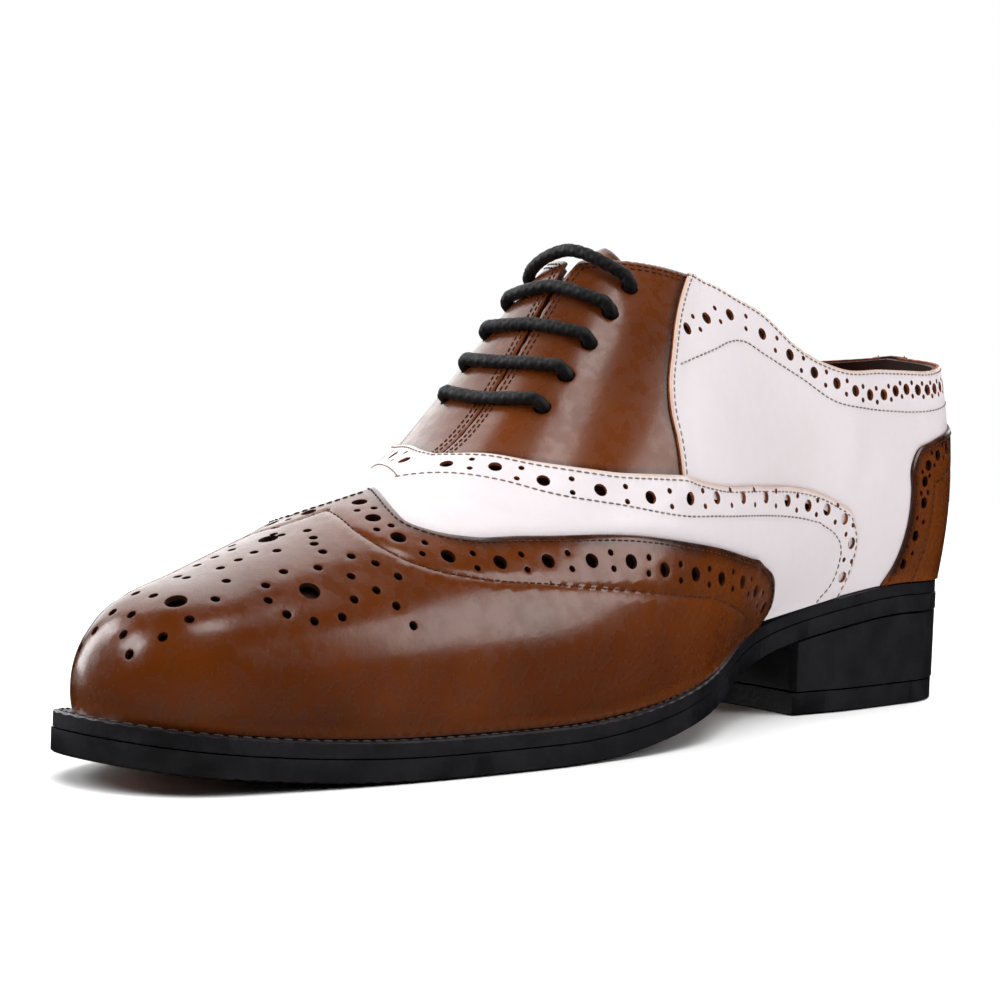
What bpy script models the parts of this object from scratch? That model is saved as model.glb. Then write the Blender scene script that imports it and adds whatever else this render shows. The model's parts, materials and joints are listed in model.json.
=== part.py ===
"""A two-tone wingtip Oxford for the right foot, standing on its sole.

Metres, +Z up, toe towards -Y, +X on the inner (medial) side of the foot.
The upper, its overlays, the welt and the sole all follow one surface, the last.
"""
from math import acos, pi

import bmesh
import bpy
import numpy as np
from mathutils import Vector, geometry

# Driving sizes of the last and the sole
LENGTH = 0.310
BALL_WIDTH = 0.098
INSTEP_HEIGHT = 0.104
HEEL_HEIGHT = 0.026
TOE_SPRING = 0.006
HEEL_RADIUS = 0.034
HEEL_ROUNDNESS = 2.15

# Thicknesses
OUTSOLE_THICKNESS = 0.005
WELT_THICKNESS = 0.0034
UPPER_WALL = 0.002
OVERLAY = 0.001
CAP_OVERLAY = 0.0014
TONGUE_THICKNESS = 0.002
INSOLE_THICKNESS = 0.0055
TOP_PIECE_THICKNESS = 0.006

# Clearances
GAP = 0.0003
PANEL_GAP = 0.0005
TONGUE_GAP = 0.0005
INSOLE_GAP = 0.0006

# How far the welt stands out from the upper
WELT_AT_TOE = 0.006
WELT_AT_BALL = 0.0045
WELT_AT_WAIST = 0.0018
WELT_AT_HEEL = 0.001
WELT_STEP = 0.0003
SOLE_BEVEL = 0.0008

# Heel block: its breast is hollowed, and the joint of its ground pieces runs aslant,
# from SPLIT_MEDIAL to SPLIT_LATERAL in front of the heel's back
BREAST = 0.087
BREAST_BOW = 0.004
HEEL_TAPER = 0.0008
SPLIT_MEDIAL = 0.033
SPLIT_LATERAL = 0.053
HEEL_ARC_STEPS = 4

# Throat and lacing
THROAT_OPENING = 0.005
LACE_DIAMETER = 0.003
LACE_HOLE = 0.0044
LACE_ARCH = 0.0045
LACE_BEND = 0.86
LACE_ROWS = 5
LACE_GIRTH_FIRST = 0.84
LACE_GIRTH_LAST = 0.885
LACE_POINTS = 7
HOLE_SIDES = 8
TONGUE_HALF = 0.20

# Places along the last, 0 at the back seam and 1 at the toe tip
THROAT = 0.605
FACING_TOP = 0.506
LACE_FIRST = 0.566
LACE_LAST = 0.498
TONGUE_TOP = 0.491
TONGUE_FOOT = 0.630
BACK_STRIP = 0.026

# Where the sole leaves the heel, meets the floor and springs up, as shares of LENGTH
SEAT_END = 0.11
FLOOR_START = 0.655
SPRING_START = 0.76

# Share of the girth that lies below the widest line
LOW_GIRTH = 0.16

# Sections of the last. place runs from the back seam (0) to the toe tip (1).
# medial, lateral: edge of the upper from the shoe's axis, shares of BALL_WIDTH
# ridge_x: the ridge from the axis, share of BALL_WIDTH
# ridge: height of the ridge over the welt, share of INSTEP_HEIGHT
# widest: height of the widest line, share of the ridge's height
# bulge_medial, bulge_lateral: how far the side swells past its edge, shares of BALL_WIDTH
# power: 2 is an ellipse, less is a tent, more is a box
SECTION_COLUMNS = ("place", "medial", "lateral", "ridge_x", "ridge", "widest",
                   "bulge_medial", "bulge_lateral", "power")
SECTIONS = (
    (0.00, 0.294, 0.388, -0.048, 0.950, 0.27, 0.030, 0.030, 2.30),
    (0.22, 0.294, 0.388, -0.048, 1.000, 0.24, 0.025, 0.025, 2.10),
    (0.30, 0.300, 0.388, -0.040, 1.060, 0.22, 0.035, 0.025, 2.00),
    (0.40, 0.286, 0.410, -0.015, 1.120, 0.20, 0.070, 0.030, 1.80),
    (0.50, 0.464, 0.455, 0.030, 1.020, 0.19, 0.025, 0.030, 1.65),
    (0.60, 0.491, 0.428, 0.070, 0.600, 0.26, 0.025, 0.030, 1.75),
    (0.70, 0.456, 0.253, 0.110, 0.430, 0.30, 0.020, 0.030, 2.00),
    (0.80, 0.389, 0.095, 0.130, 0.305, 0.32, 0.018, 0.020, 2.20),
    (0.90, 0.308, -0.010, 0.140, 0.205, 0.34, 0.015, 0.015, 2.30),
    (0.95, 0.230, -0.056, 0.138, 0.125, 0.34, 0.010, 0.010, 2.30),
    (1.00, 0.133, -0.133, 0.133, 0.000, 0.34, 0.000, 0.000, 2.30),
)

# Height of the collar's edge over the welt: place, share of INSTEP_HEIGHT
TOPLINE = (
    (0.00, 0.625), (0.12, 0.600), (0.22, 0.575), (0.28, 0.583), (0.33, 0.605),
    (0.37, 0.685), (0.40, 0.795), (0.42, 0.845), (0.435, 0.885), (0.454, 0.925),
    (0.476, 0.965), (0.496, 0.992), (0.506, 1.000),
)

# Margin of the welt on the medial side: share of LENGTH from the back, margin
WELT_MARGINS = (
    (0.00, WELT_AT_HEEL), (0.16, WELT_AT_HEEL), (0.36, WELT_AT_WAIST), (0.62, WELT_AT_BALL),
    (0.80, (WELT_AT_BALL + WELT_AT_TOE) / 2), (1.00, WELT_AT_TOE),
)

# Panel edges. The same ones serve both sides, except the wing cap's front curve.
# Each point is place along the last, share of the girth from the welt (0) to the ridge (1).
WING_REAR = (
    (0.402, 0.000), (0.396, 0.035), (0.402, 0.080), (0.430, 0.150), (0.484, 0.290),
    (0.520, 0.360), (0.575, 0.460),
)
WING_FRONT = {
    "medial": ((0.620, 0.530), (0.648, 0.570), (0.667, 0.630), (0.677, 0.710), (0.675, 0.800),
               (0.668, 0.900), (0.659, 1.000)),
    "lateral": ((0.628, 0.540), (0.664, 0.590), (0.689, 0.660), (0.701, 0.750), (0.700, 0.840),
                (0.686, 0.930), (0.659, 1.000)),
}
SWAN_NECK = (
    (0.320, 0.000), (0.314, 0.050), (0.313, 0.100), (0.321, 0.145), (0.337, 0.196),
    (0.359, 0.268), (0.384, 0.328), (0.430, 0.400), (0.480, 0.460), (0.510, 0.515),
    (0.555, 0.600), (0.584, 0.720), (0.600, 0.850), (0.608, 0.930), (0.611, 1.000),
)
FACING_REAR = (
    (0.509, 0.530), (0.507, 0.600), (0.506, 0.660), (0.501, 0.715), (0.492, 0.760),
    (0.481, 0.804), (0.467, 0.840),
)
COUNTER_EDGE = (
    (0.270, 0.000), (0.252, 0.050), (0.243, 0.110), (0.241, 0.180), (0.243, 0.270),
    (0.234, 0.337), (0.205, 0.373), (0.160, 0.400), (0.100, 0.425), (0.055, 0.455),
    (0.033, 0.520),
)

# Lines of the upper's grid, finer where it bends most
PLACES = (
    0.000, 0.040, 0.080, 0.120, 0.160, 0.195, 0.2204, 0.255, 0.290, 0.325, 0.360, 0.390,
    0.420, 0.448, 0.474, 0.491, 0.506, 0.526, 0.546, 0.566, 0.586, 0.605, 0.630, 0.655,
    0.682, 0.710, 0.740, 0.770, 0.800, 0.830, 0.860, 0.890, 0.918, 0.945, 0.972, 1.000,
)
GIRTHS = (0.0, 0.08, 0.16, 0.25, 0.35, 0.45, 0.55, 0.65, 0.75, 0.84, 0.92, 1.0)

LAST_TIP = LENGTH - WELT_AT_TOE
LAST_BACK = WELT_AT_HEEL
HEEL_CENTRE = LAST_BACK + HEEL_RADIUS
HEEL_PLACE = acos(1 - 2 * HEEL_CENTRE / LAST_TIP) / pi
EDGE_HEIGHT = OUTSOLE_THICKNESS + GAP + WELT_THICKNESS

# Size of the flat chart of (place, girth) on which panel edges are drawn, and their spacing
CHART = np.array([1.4 * LENGTH, INSTEP_HEIGHT])
EDGE_SPACING = 0.0075

# Least difference of place between neighbouring points of a panel's outline
SPACE = 0.005

# Steps for slopes, and the share of the girth in which the wall turns level at the welt
STEP = 1e-4
LEVEL_GIRTH = 0.05

# Distance under which points are one, and a number that keeps quotients finite
SAME = 2e-6
TINY = 1e-9

MEDIAL, LATERAL = 1, -1

# Base colours (linear), roughness and metallic value of each finish
FINISHES = {
    "tan_leather": ((0.23, 0.065, 0.018), 0.32, 0.0),
    "white_leather": ((0.80, 0.74, 0.72), 0.38, 0.0),
    "lining_leather": ((0.07, 0.03, 0.015), 0.60, 0.0),
    "black_edge": ((0.010, 0.009, 0.009), 0.30, 0.0),
    "sole_leather": ((0.24, 0.062, 0.015), 0.35, 0.0),
    "black_rubber": ((0.016, 0.016, 0.017), 0.75, 0.0),
    "black_lace": ((0.008, 0.008, 0.008), 0.70, 0.0),
}


def through(rows, x):
    """Cubic that passes through rows of (place, value) without wiggling."""
    xs = np.array([row[0] for row in rows], float)
    ys = np.array([row[1] for row in rows], float)
    steps = np.diff(xs)
    slopes = np.diff(ys) / steps
    tangents = np.empty_like(ys)
    tangents[0] = slopes[0]
    tangents[-1] = slopes[-1]
    tangents[1:-1] = (slopes[:-1] * steps[1:] + slopes[1:] * steps[:-1]) / (steps[:-1] + steps[1:])
    x = np.asarray(x, float)
    i = np.clip(np.searchsorted(xs, x, side="right") - 1, 0, len(xs) - 2)
    w = (x - xs[i]) / steps[i]
    start = (2 * w**3 - 3 * w**2 + 1) * ys[i] + (w**3 - 2 * w**2 + w) * steps[i] * tangents[i]
    end = (3 * w**2 - 2 * w**3) * ys[i + 1] + (w**3 - w**2) * steps[i] * tangents[i + 1]
    return start + end


def section(name, place):
    """One column of the table of sections, at any place along the last."""
    k = SECTION_COLUMNS.index(name)
    return through([(row[0], row[k]) for row in SECTIONS], place)


def ramp(x):
    """Smooth step from 0 to 1."""
    x = np.clip(x, 0.0, 1.0)
    return x * x * (3 - 2 * x)


def lift(station):
    """Height of the sole's underside over the floor: seat, waist, ball and toe spring."""
    share = np.asarray(station, float) / LENGTH
    seat = 1 - ramp((share - SEAT_END) / (FLOOR_START - SEAT_END))
    toe = np.clip((share - SPRING_START) / (1 - SPRING_START), 0, 1) ** 2
    return HEEL_HEIGHT * seat + TOE_SPRING * toe


def last_point(place, girth, side):
    """x, station from the back, and height over the welt, before the heel's pitch."""
    place, girth = np.broadcast_arrays(np.asarray(place, float), np.asarray(girth, float))
    along = np.maximum(place, HEEL_PLACE)
    medial = side > 0
    ridge_x = section("ridge_x", place) * BALL_WIDTH
    edge = section("medial" if medial else "lateral", along) * BALL_WIDTH
    angle = np.clip(1 - place / HEEL_PLACE, 0, 1) * pi / 2
    across, back = np.cos(angle), np.sin(angle)
    half = np.maximum(np.abs(edge * side - ridge_x), TINY)
    foot = ((across / half) ** HEEL_ROUNDNESS + (back / HEEL_RADIUS) ** HEEL_ROUNDNESS)
    foot = foot ** (-1 / HEEL_ROUNDNESS)
    foot = np.where(place >= 1, 0.0, foot)
    bulge = section("bulge_medial" if medial else "bulge_lateral", place) * BALL_WIDTH
    ridge = section("ridge", place) * INSTEP_HEIGHT
    widest = section("widest", place) * ridge
    power = section("power", place)
    low = np.clip(girth / LOW_GIRTH, 0, 1)
    turn = np.clip((girth - LOW_GIRTH) / (1 - LOW_GIRTH), 0, 1) * pi / 2
    wide = np.maximum(foot + bulge, TINY)
    tall = np.maximum(ridge - widest, TINY)
    reach = ((np.cos(turn) / wide) ** power + (np.sin(turn) / tall) ** power) ** (-1 / power)
    is_low = girth < LOW_GIRTH
    out = np.where(is_low, foot + bulge * np.sin(low * pi / 2), reach * np.cos(turn))
    out = np.where(girth >= 1, 0.0, out)
    height = np.where(is_low, widest * low, widest + reach * np.sin(turn))
    station = LAST_TIP * (1 - np.cos(pi * along)) / 2 - back * out
    return ridge_x + side * across * out, station, height


def raised(x, station, height):
    """A point of the shoe, from its place over the welt."""
    return np.stack([x, LENGTH / 2 - station, height + lift(station) + EDGE_HEIGHT + GAP], -1)


def skin(place, girth, side):
    """Points on the outside of the last."""
    return raised(*last_point(place, girth, side))


def skin_normal(place, girth, side):
    """Unit vectors that point out of the last; level along its bottom edge."""
    place, girth = np.broadcast_arrays(np.asarray(place, float), np.asarray(girth, float))
    p = np.clip(place, STEP, 1 - 40 * STEP)
    g = np.clip(girth, STEP, 1 - STEP)
    along = skin(p + STEP, g, side) - skin(p - STEP, g, side)
    up = skin(p, g + STEP, side) - skin(p, g - STEP, side)
    n = np.cross(up, along) * side
    n[..., 2] *= ramp(girth / LEVEL_GIRTH)
    n[..., 0] = np.where((girth >= 1) & (place < HEEL_PLACE), 0.0, n[..., 0])
    tip = place >= 1
    n[tip] = (0.0, -1.0, 0.0)
    return n / np.linalg.norm(n, axis=-1, keepdims=True)


def topline_girth(place, side):
    """Girth at which the upper ends: the collar, the throat's edge or the ridge."""
    girths = np.linspace(0, 1, 401)
    ends = []
    for p in np.atleast_1d(place):
        if p >= THROAT:
            ends.append(1.0)
            continue
        open_share = (THROAT - p) / (THROAT - FACING_TOP)
        _, _, heights = last_point(p, girths, side)
        slit = 1 - min(open_share, 1.0) * THROAT_OPENING / 2 / (INSTEP_HEIGHT * pi / 2)
        if p >= FACING_TOP:
            ends.append(slit)
            continue
        collar = through(TOPLINE, p) * INSTEP_HEIGHT
        ends.append(min(slit, float(np.interp(collar, heights, girths))))
    return np.array(ends)


class Shell:
    """The upper's facets, in which every panel lies parallel to the wall below it."""

    def __init__(self):
        self.places = np.array(PLACES)
        self.rows = np.array(GIRTHS)
        self.tops = {side: topline_girth(self.places, side) for side in (MEDIAL, LATERAL)}

    def girth(self, side):
        return self.rows[None, :] * self.tops[side][:, None]

    def grid(self, side, out):
        """Grid of points at a distance out of the last."""
        girth = self.girth(side)
        place = self.places[:, None] + 0 * girth
        points = skin(place, girth, side)
        return points + skin_normal(place, girth, side) * out

    def share(self, place, girth, side):
        """Share of the height from the welt to the upper's top edge."""
        return girth / np.interp(place, self.places, self.tops[side])

    def locate(self, place, share, side, out):
        """Points on the facets, at a distance out of the last."""
        grid = self.grid(side, out)
        i = np.clip(np.searchsorted(self.places, place, side="right") - 1, 0, len(self.places) - 2)
        j = np.clip(np.searchsorted(self.rows, share, side="right") - 1, 0, len(self.rows) - 2)
        a = (place - self.places[i]) / (self.places[i + 1] - self.places[i])
        b = (share - self.rows[j]) / (self.rows[j + 1] - self.rows[j])
        a, b = a[:, None], b[:, None]
        p00, p10 = grid[i, j], grid[i + 1, j]
        p01, p11 = grid[i, j + 1], grid[i + 1, j + 1]
        under = p00 + a * (p10 - p00) + b * (p11 - p10)
        over = p00 + b * (p01 - p00) + a * (p11 - p01)
        return np.where(a >= b, under, over)


def curve_through(points):
    """A smooth curve through points of a panel's edge, sampled about every EDGE_SPACING."""
    points = np.array(points, float)
    run = np.r_[0, np.cumsum(np.linalg.norm(np.diff(points * CHART, axis=0), axis=1))]
    samples = np.linspace(0, run[-1], max(3, int(run[-1] / EDGE_SPACING) + 1))
    columns = [through(list(zip(run, points[:, k])), samples) for k in (0, 1)]
    return np.stack(columns, -1)


def inside(points, polygon):
    """Which points lie inside a closed polygon."""
    x, y = points[:, 0], points[:, 1]
    hit = np.zeros(len(points), bool)
    for (x0, y0), (x1, y1) in zip(polygon, np.roll(polygon, -1, axis=0)):
        crosses = (y0 > y) != (y1 > y)
        if y0 != y1:
            hit ^= crosses & (x < (x1 - x0) * (y - y0) / (y1 - y0) + x0)
    return hit


def finish_material(name):
    """The Principled material of one finish, made once."""
    material = bpy.data.materials.get(name)
    if material is None:
        colour, roughness, metallic = FINISHES[name]
        material = bpy.data.materials.new(name)
        material.use_nodes = True
        shader = material.node_tree.nodes["Principled BSDF"]
        shader.inputs["Base Color"].default_value = (*colour, 1.0)
        shader.inputs["Roughness"].default_value = roughness
        shader.inputs["Metallic"].default_value = metallic
    return material


def add_object(name, bm, finish):
    """Close, orient and name a mesh."""
    bmesh.ops.remove_doubles(bm, verts=bm.verts, dist=SAME)
    bmesh.ops.recalc_face_normals(bm, faces=bm.faces)
    mesh = bpy.data.meshes.new(name)
    bm.to_mesh(mesh)
    bm.free()
    mesh.materials.append(finish_material(finish))
    obj = bpy.data.objects.new(name, mesh)
    bpy.context.collection.objects.link(obj)
    mesh.shade_smooth()
    return obj


def add_faces(bm, verts, quads):
    """Faces between vertices, leaving out corners that have merged."""
    for quad in quads:
        corners = []
        for v in quad:
            if verts[v] not in corners:
                corners.append(verts[v])
        if len(corners) > 2 and bm.faces.get(corners) is None:
            bm.faces.new(corners)


def merged_verts(bm, points):
    """One vertex for each distinct point, in the order of the points."""
    made = {}
    verts = []
    for p in points:
        key = tuple(np.round(p / SAME).astype(int))
        if key not in made:
            made[key] = bm.verts.new(p)
        verts.append(made[key])
    return verts


def upper(shell):
    """The hollow wall of quarters and lining: outer face, inner face, feather edge and top edge."""
    bm = bmesh.new()
    rows, columns = len(shell.places), len(shell.rows)
    throat = int(np.argmin(np.abs(shell.places - THROAT)))
    sheets = {}
    for side in (MEDIAL, LATERAL):
        for out in (0.0, -UPPER_WALL):
            sheets[side, out] = shell.grid(side, out)
    for out in (0.0, -UPPER_WALL):
        ridge = (sheets[MEDIAL, out][throat:, -1] + sheets[LATERAL, out][throat:, -1]) / 2
        seam = (sheets[MEDIAL, out][0] + sheets[LATERAL, out][0]) / 2
        for side in (MEDIAL, LATERAL):
            sheets[side, out][throat:, -1] = ridge
            sheets[side, out][0] = seam
            sheets[side, out][-1] = sheets[MEDIAL, out][-1][:1]
    points = np.concatenate([sheet.reshape(-1, 3) for sheet in sheets.values()])
    verts = merged_verts(bm, points)
    start = {key: k * rows * columns for k, key in enumerate(sheets)}

    def vert(side, out, i, j):
        return start[side, out] + i * columns + j

    for side in (MEDIAL, LATERAL):
        faces = []
        for i in range(rows - 1):
            for j in range(columns - 1):
                for out in (0.0, -UPPER_WALL):
                    a, b = vert(side, out, i, j), vert(side, out, i + 1, j)
                    c, d = vert(side, out, i + 1, j + 1), vert(side, out, i, j + 1)
                    faces += [(a, b, c), (a, c, d)]
            for j in ((0, columns - 1) if i < throat else (0,)):
                faces.append((vert(side, 0.0, i, j), vert(side, 0.0, i + 1, j),
                              vert(side, -UPPER_WALL, i + 1, j), vert(side, -UPPER_WALL, i, j)))
        add_faces(bm, verts, faces)
    return add_object("upper", bm, "white_leather")


def panel(name, shell, outline, chart, thickness, finish):
    """An overlay: the part of the upper's facets inside an outline, at two distances out.

    chart "ridge" lays the two sides out from the ridge, chart "seam" from the back seam.
    """
    places, rows = shell.places, shell.rows
    if chart == "ridge":
        xs = places
        ys = np.r_[rows - 1, 1 - rows[::-1][1:]]
    else:
        xs = np.r_[-places[::-1][:-1], places]
        ys = rows
    low, high = outline.min(0) - SAME, outline.max(0) + SAME
    first = max(np.searchsorted(xs, low[0]) - 1, 0)
    last = min(np.searchsorted(xs, high[0]) + 1, len(xs))
    xs = xs[first:last]
    grid = np.array([(x, y) for x in xs for y in ys])
    edges = []
    n = len(ys)
    for i in range(len(xs)):
        for j in range(n):
            here = i * n + j
            if j < n - 1:
                edges.append((here, here + 1))
            if i < len(xs) - 1:
                edges.append((here, here + n))
            if i < len(xs) - 1 and j < n - 1:
                mirrored = (ys[j] < 0) if chart == "ridge" else (xs[i] < 0)
                flipped = chart == "ridge"
                if mirrored != flipped:
                    edges.append((here + 1, here + n))
                else:
                    edges.append((here, here + n + 1))
    count = len(grid)
    ring = [(count + k, count + (k + 1) % len(outline)) for k in range(len(outline))]
    corners = [Vector(p) for p in np.concatenate([grid, outline]) * CHART]
    flat, _, triangles, _, _, _ = geometry.delaunay_2d_cdt(corners, edges + ring, [], 0, 10 * SAME)
    flat = np.array([tuple(v) for v in flat]) / CHART
    triangles = np.array([t for t in triangles if len(t) == 3])
    keep = inside(flat[triangles].mean(1), outline)
    triangles = triangles[keep]
    if chart == "ridge":
        offset, place, share = flat[:, 1], flat[:, 0], 1 - np.abs(flat[:, 1])
    else:
        offset, place, share = flat[:, 0], np.abs(flat[:, 0]), flat[:, 1]
    on_line = np.abs(offset) < SAME / 10
    home = MEDIAL if np.mean(outline[:, 1] if chart == "ridge" else outline[:, 0]) >= 0 else LATERAL
    side = np.where(on_line, home, np.sign(offset))
    joined = on_line & ((place >= THROAT) | (chart == "seam"))
    place, share = np.clip(place, 0, 1), np.clip(share, 0, 1)
    layers = []
    for out in (GAP, GAP + thickness):
        medial = shell.locate(place, share, MEDIAL, out)
        lateral = shell.locate(place, share, LATERAL, out)
        layers.append(np.where((side == MEDIAL)[:, None], medial, lateral))
        layers[-1] = np.where(joined[:, None], (medial + lateral) / 2, layers[-1])
        tip = place >= 1 - SAME / 10
        layers[-1][tip] = shell.grid(MEDIAL, out)[-1][0]
    merged = {}
    index = np.array([merged.setdefault(tuple(np.round(p / SAME)), k) for k, p in enumerate(layers[1])])
    bm = bmesh.new()
    used = sorted(set(index[triangles].ravel()))
    low_verts = {k: bm.verts.new(layers[0][k]) for k in used}
    high_verts = {k: bm.verts.new(layers[1][k]) for k in used}
    sides = {}
    for a, b, c in index[triangles]:
        if len({a, b, c}) < 3:
            continue
        bm.faces.new((high_verts[a], high_verts[b], high_verts[c]))
        bm.faces.new((low_verts[c], low_verts[b], low_verts[a]))
        for edge in ((a, b), (b, c), (c, a)):
            if (edge[1], edge[0]) in sides:
                del sides[edge[1], edge[0]]
            else:
                sides[edge] = True
    for a, b in sides:
        bm.faces.new((high_verts[b], high_verts[a], low_verts[a], low_verts[b]))
    return add_object(name, bm, finish)


def edge_in_shares(shell, points, side):
    """A panel's edge as (place, share of the height to the top edge)."""
    curve = curve_through(points)
    share = shell.share(curve[:, 0], np.minimum(curve[:, 1], 1.0), side)
    return np.stack([curve[:, 0], np.clip(share, 0, 1)], -1)


def moved(edge, distance):
    """An edge shifted sideways by a distance, to keep neighbouring panels apart."""
    flat = edge * CHART
    along = np.gradient(flat, axis=0)
    along /= np.linalg.norm(along, axis=1)[:, None]
    shifted = (flat + np.stack([along[:, 1], -along[:, 0]], -1) * distance) / CHART
    shifted[:, 1] = np.clip(shifted[:, 1], 0.0, 1.0)
    shifted[0, 1] = edge[0, 1]
    shifted[-1, 1] = edge[-1, 1]
    return shifted


def over_ridge(medial_edge, lateral_edge):
    """Both sides of an edge that crosses the ridge, from the medial welt to the lateral welt."""
    medial = np.stack([medial_edge[:, 0], 1 - medial_edge[:, 1]], -1)
    lateral = np.stack([lateral_edge[:, 0], lateral_edge[:, 1] - 1], -1)
    return np.concatenate([medial, lateral[::-1][1:]])


def wing_edge(shell, side):
    front = WING_FRONT["medial" if side == MEDIAL else "lateral"]
    return edge_in_shares(shell, WING_REAR + front, side)


def swan_neck(shell, side):
    return edge_in_shares(shell, SWAN_NECK, side)


def wing_cap(shell):
    """The toe cap and its two wings, down to the welt."""
    top = over_ridge(wing_edge(shell, MEDIAL), wing_edge(shell, LATERAL))
    places = np.array([p for p in PLACES if p > WING_REAR[0][0] + SPACE])
    lateral_foot = [(p, -1.0) for p in places]
    medial_foot = [(p, 1.0) for p in places[::-1]]
    outline = np.concatenate([top, lateral_foot, medial_foot])
    return panel("wing_cap", shell, outline, "ridge", CAP_OVERLAY, "tan_leather")


def vamp(shell):
    """The white vamp between the wing cap and the swan-neck line."""
    lower = [moved(wing_edge(shell, side), -PANEL_GAP) for side in (MEDIAL, LATERAL)]
    upper_line = over_ridge(swan_neck(shell, MEDIAL), swan_neck(shell, LATERAL))
    lower_line = over_ridge(*lower)
    outline = np.concatenate([upper_line, lower_line[::-1]])
    return panel("vamp", shell, outline, "ridge", OVERLAY, "white_leather")


def facing(name, shell, side):
    """The eyestay: from the throat's edge to the quarter, above the swan neck."""
    bottom = moved(swan_neck(shell, side), -PANEL_GAP)
    bottom = bottom[bottom[:, 0] > FACING_REAR[0][0] + SPACE]
    rear = edge_in_shares(shell, FACING_REAR, side)
    near_ridge = 1 - PANEL_GAP / INSTEP_HEIGHT
    top = [(p, 1.0) for p in PLACES if FACING_REAR[-1][0] - 2 * SPACE < p < THROAT - 3 * SPACE]
    top_edge = np.array(top + [(THROAT - 2 * SPACE, 1.0), (THROAT, near_ridge)])
    bottom[:, 1] = np.minimum(bottom[:, 1], near_ridge)
    outline = np.concatenate([rear, top_edge, bottom[::-1]])
    outline = np.stack([outline[:, 0], (1 - outline[:, 1]) * side], -1)
    return panel(name, shell, outline, "ridge", OVERLAY, "tan_leather")


def counter(shell):
    """The heel counter with the strip that runs up the back seam."""
    halves = []
    for side in (MEDIAL, LATERAL):
        edge = edge_in_shares(shell, COUNTER_EDGE + ((BACK_STRIP, 0.620),), side)
        strip = np.array([(BACK_STRIP, 1.0)])
        half = np.concatenate([edge, strip])
        halves.append(half * (side, 1))
    foot = [(p, 0.0) for p in PLACES if p < COUNTER_EDGE[0][0] - 2 * SPACE]
    foot = [(-p, 0.0) for p, _ in foot[::-1]] + [point for point in foot if point[0] > 0]
    outline = np.concatenate([halves[0], halves[1][::-1], foot])
    return panel("counter", shell, outline, "seam", OVERLAY, "tan_leather")


def tongue(shell):
    """A tongue under the throat, parallel to the facings' inner side."""
    bm = bmesh.new()
    between = [p for p in PLACES if TONGUE_TOP < p < TONGUE_FOOT]
    places = np.array([TONGUE_TOP] + between + [TONGUE_FOOT])
    first = int(np.argmin(np.abs(shell.rows - (1 - TONGUE_HALF))))
    shares = shell.rows[first:]
    layers = []
    for depth in (UPPER_WALL + TONGUE_GAP, UPPER_WALL + TONGUE_GAP + TONGUE_THICKNESS):
        sides = []
        for side in (MEDIAL, LATERAL):
            tops = np.interp(places, shell.places, shell.tops[side])
            girth = shares[None, :] * tops[:, None]
            place = places[:, None] + 0 * girth
            sides.append(skin(place, girth, side) - skin_normal(place, girth, side) * depth)
        ridge = skin(places, 1.0, MEDIAL) - skin_normal(places, np.ones(len(places)), MEDIAL) * depth
        layers.append(np.concatenate([sides[0], ridge[:, None], sides[1][:, ::-1]], axis=1))
    rows, columns = layers[0].shape[:2]
    points = np.concatenate([layer.reshape(-1, 3) for layer in layers])
    verts = merged_verts(bm, points)
    under = rows * columns
    faces = []
    for i in range(rows - 1):
        for j in range(columns - 1):
            a = i * columns + j
            for k in (0, under):
                quad = (a + k, a + k + 1, a + k + columns + 1, a + k + columns)
                if j >= len(shares):
                    quad = quad[1:] + quad[:1]
                faces += [(quad[0], quad[1], quad[2]), (quad[0], quad[2], quad[3])]
    rim = [j for j in range(columns)]
    rim += [i * columns + columns - 1 for i in range(1, rows)]
    rim += [(rows - 1) * columns + j for j in range(columns - 2, -1, -1)]
    rim += [i * columns for i in range(rows - 2, 0, -1)]
    for a, b in zip(rim, rim[1:] + rim[:1]):
        faces.append((a, b, b + under, a + under))
    add_faces(bm, verts, faces)
    return add_object("tongue", bm, "tan_leather")


def welt_margin(station, side):
    """How far the welt stands out from the upper at a station; it is wider on the lateral waist."""
    spread = 0.0 if side == MEDIAL else (WELT_AT_BALL - WELT_AT_WAIST) / 2
    rows = [(share * LENGTH, margin + spread * (margin == WELT_AT_WAIST))
            for share, margin in WELT_MARGINS]
    return through(rows, station)


def plan_edge(places, side, offset):
    """Plan of the last's bottom edge, moved outwards by an offset: x and station."""
    x, station, _ = last_point(places, 0.0, side)
    n = skin_normal(places, np.zeros(len(places)), side)
    return x + n[:, 0] * offset, station - n[:, 1] * offset


def sole_point(x, station, height):
    """A point of the sole, at a height over its underside."""
    return (x, LENGTH / 2 - station, height + float(lift(station)))


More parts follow.
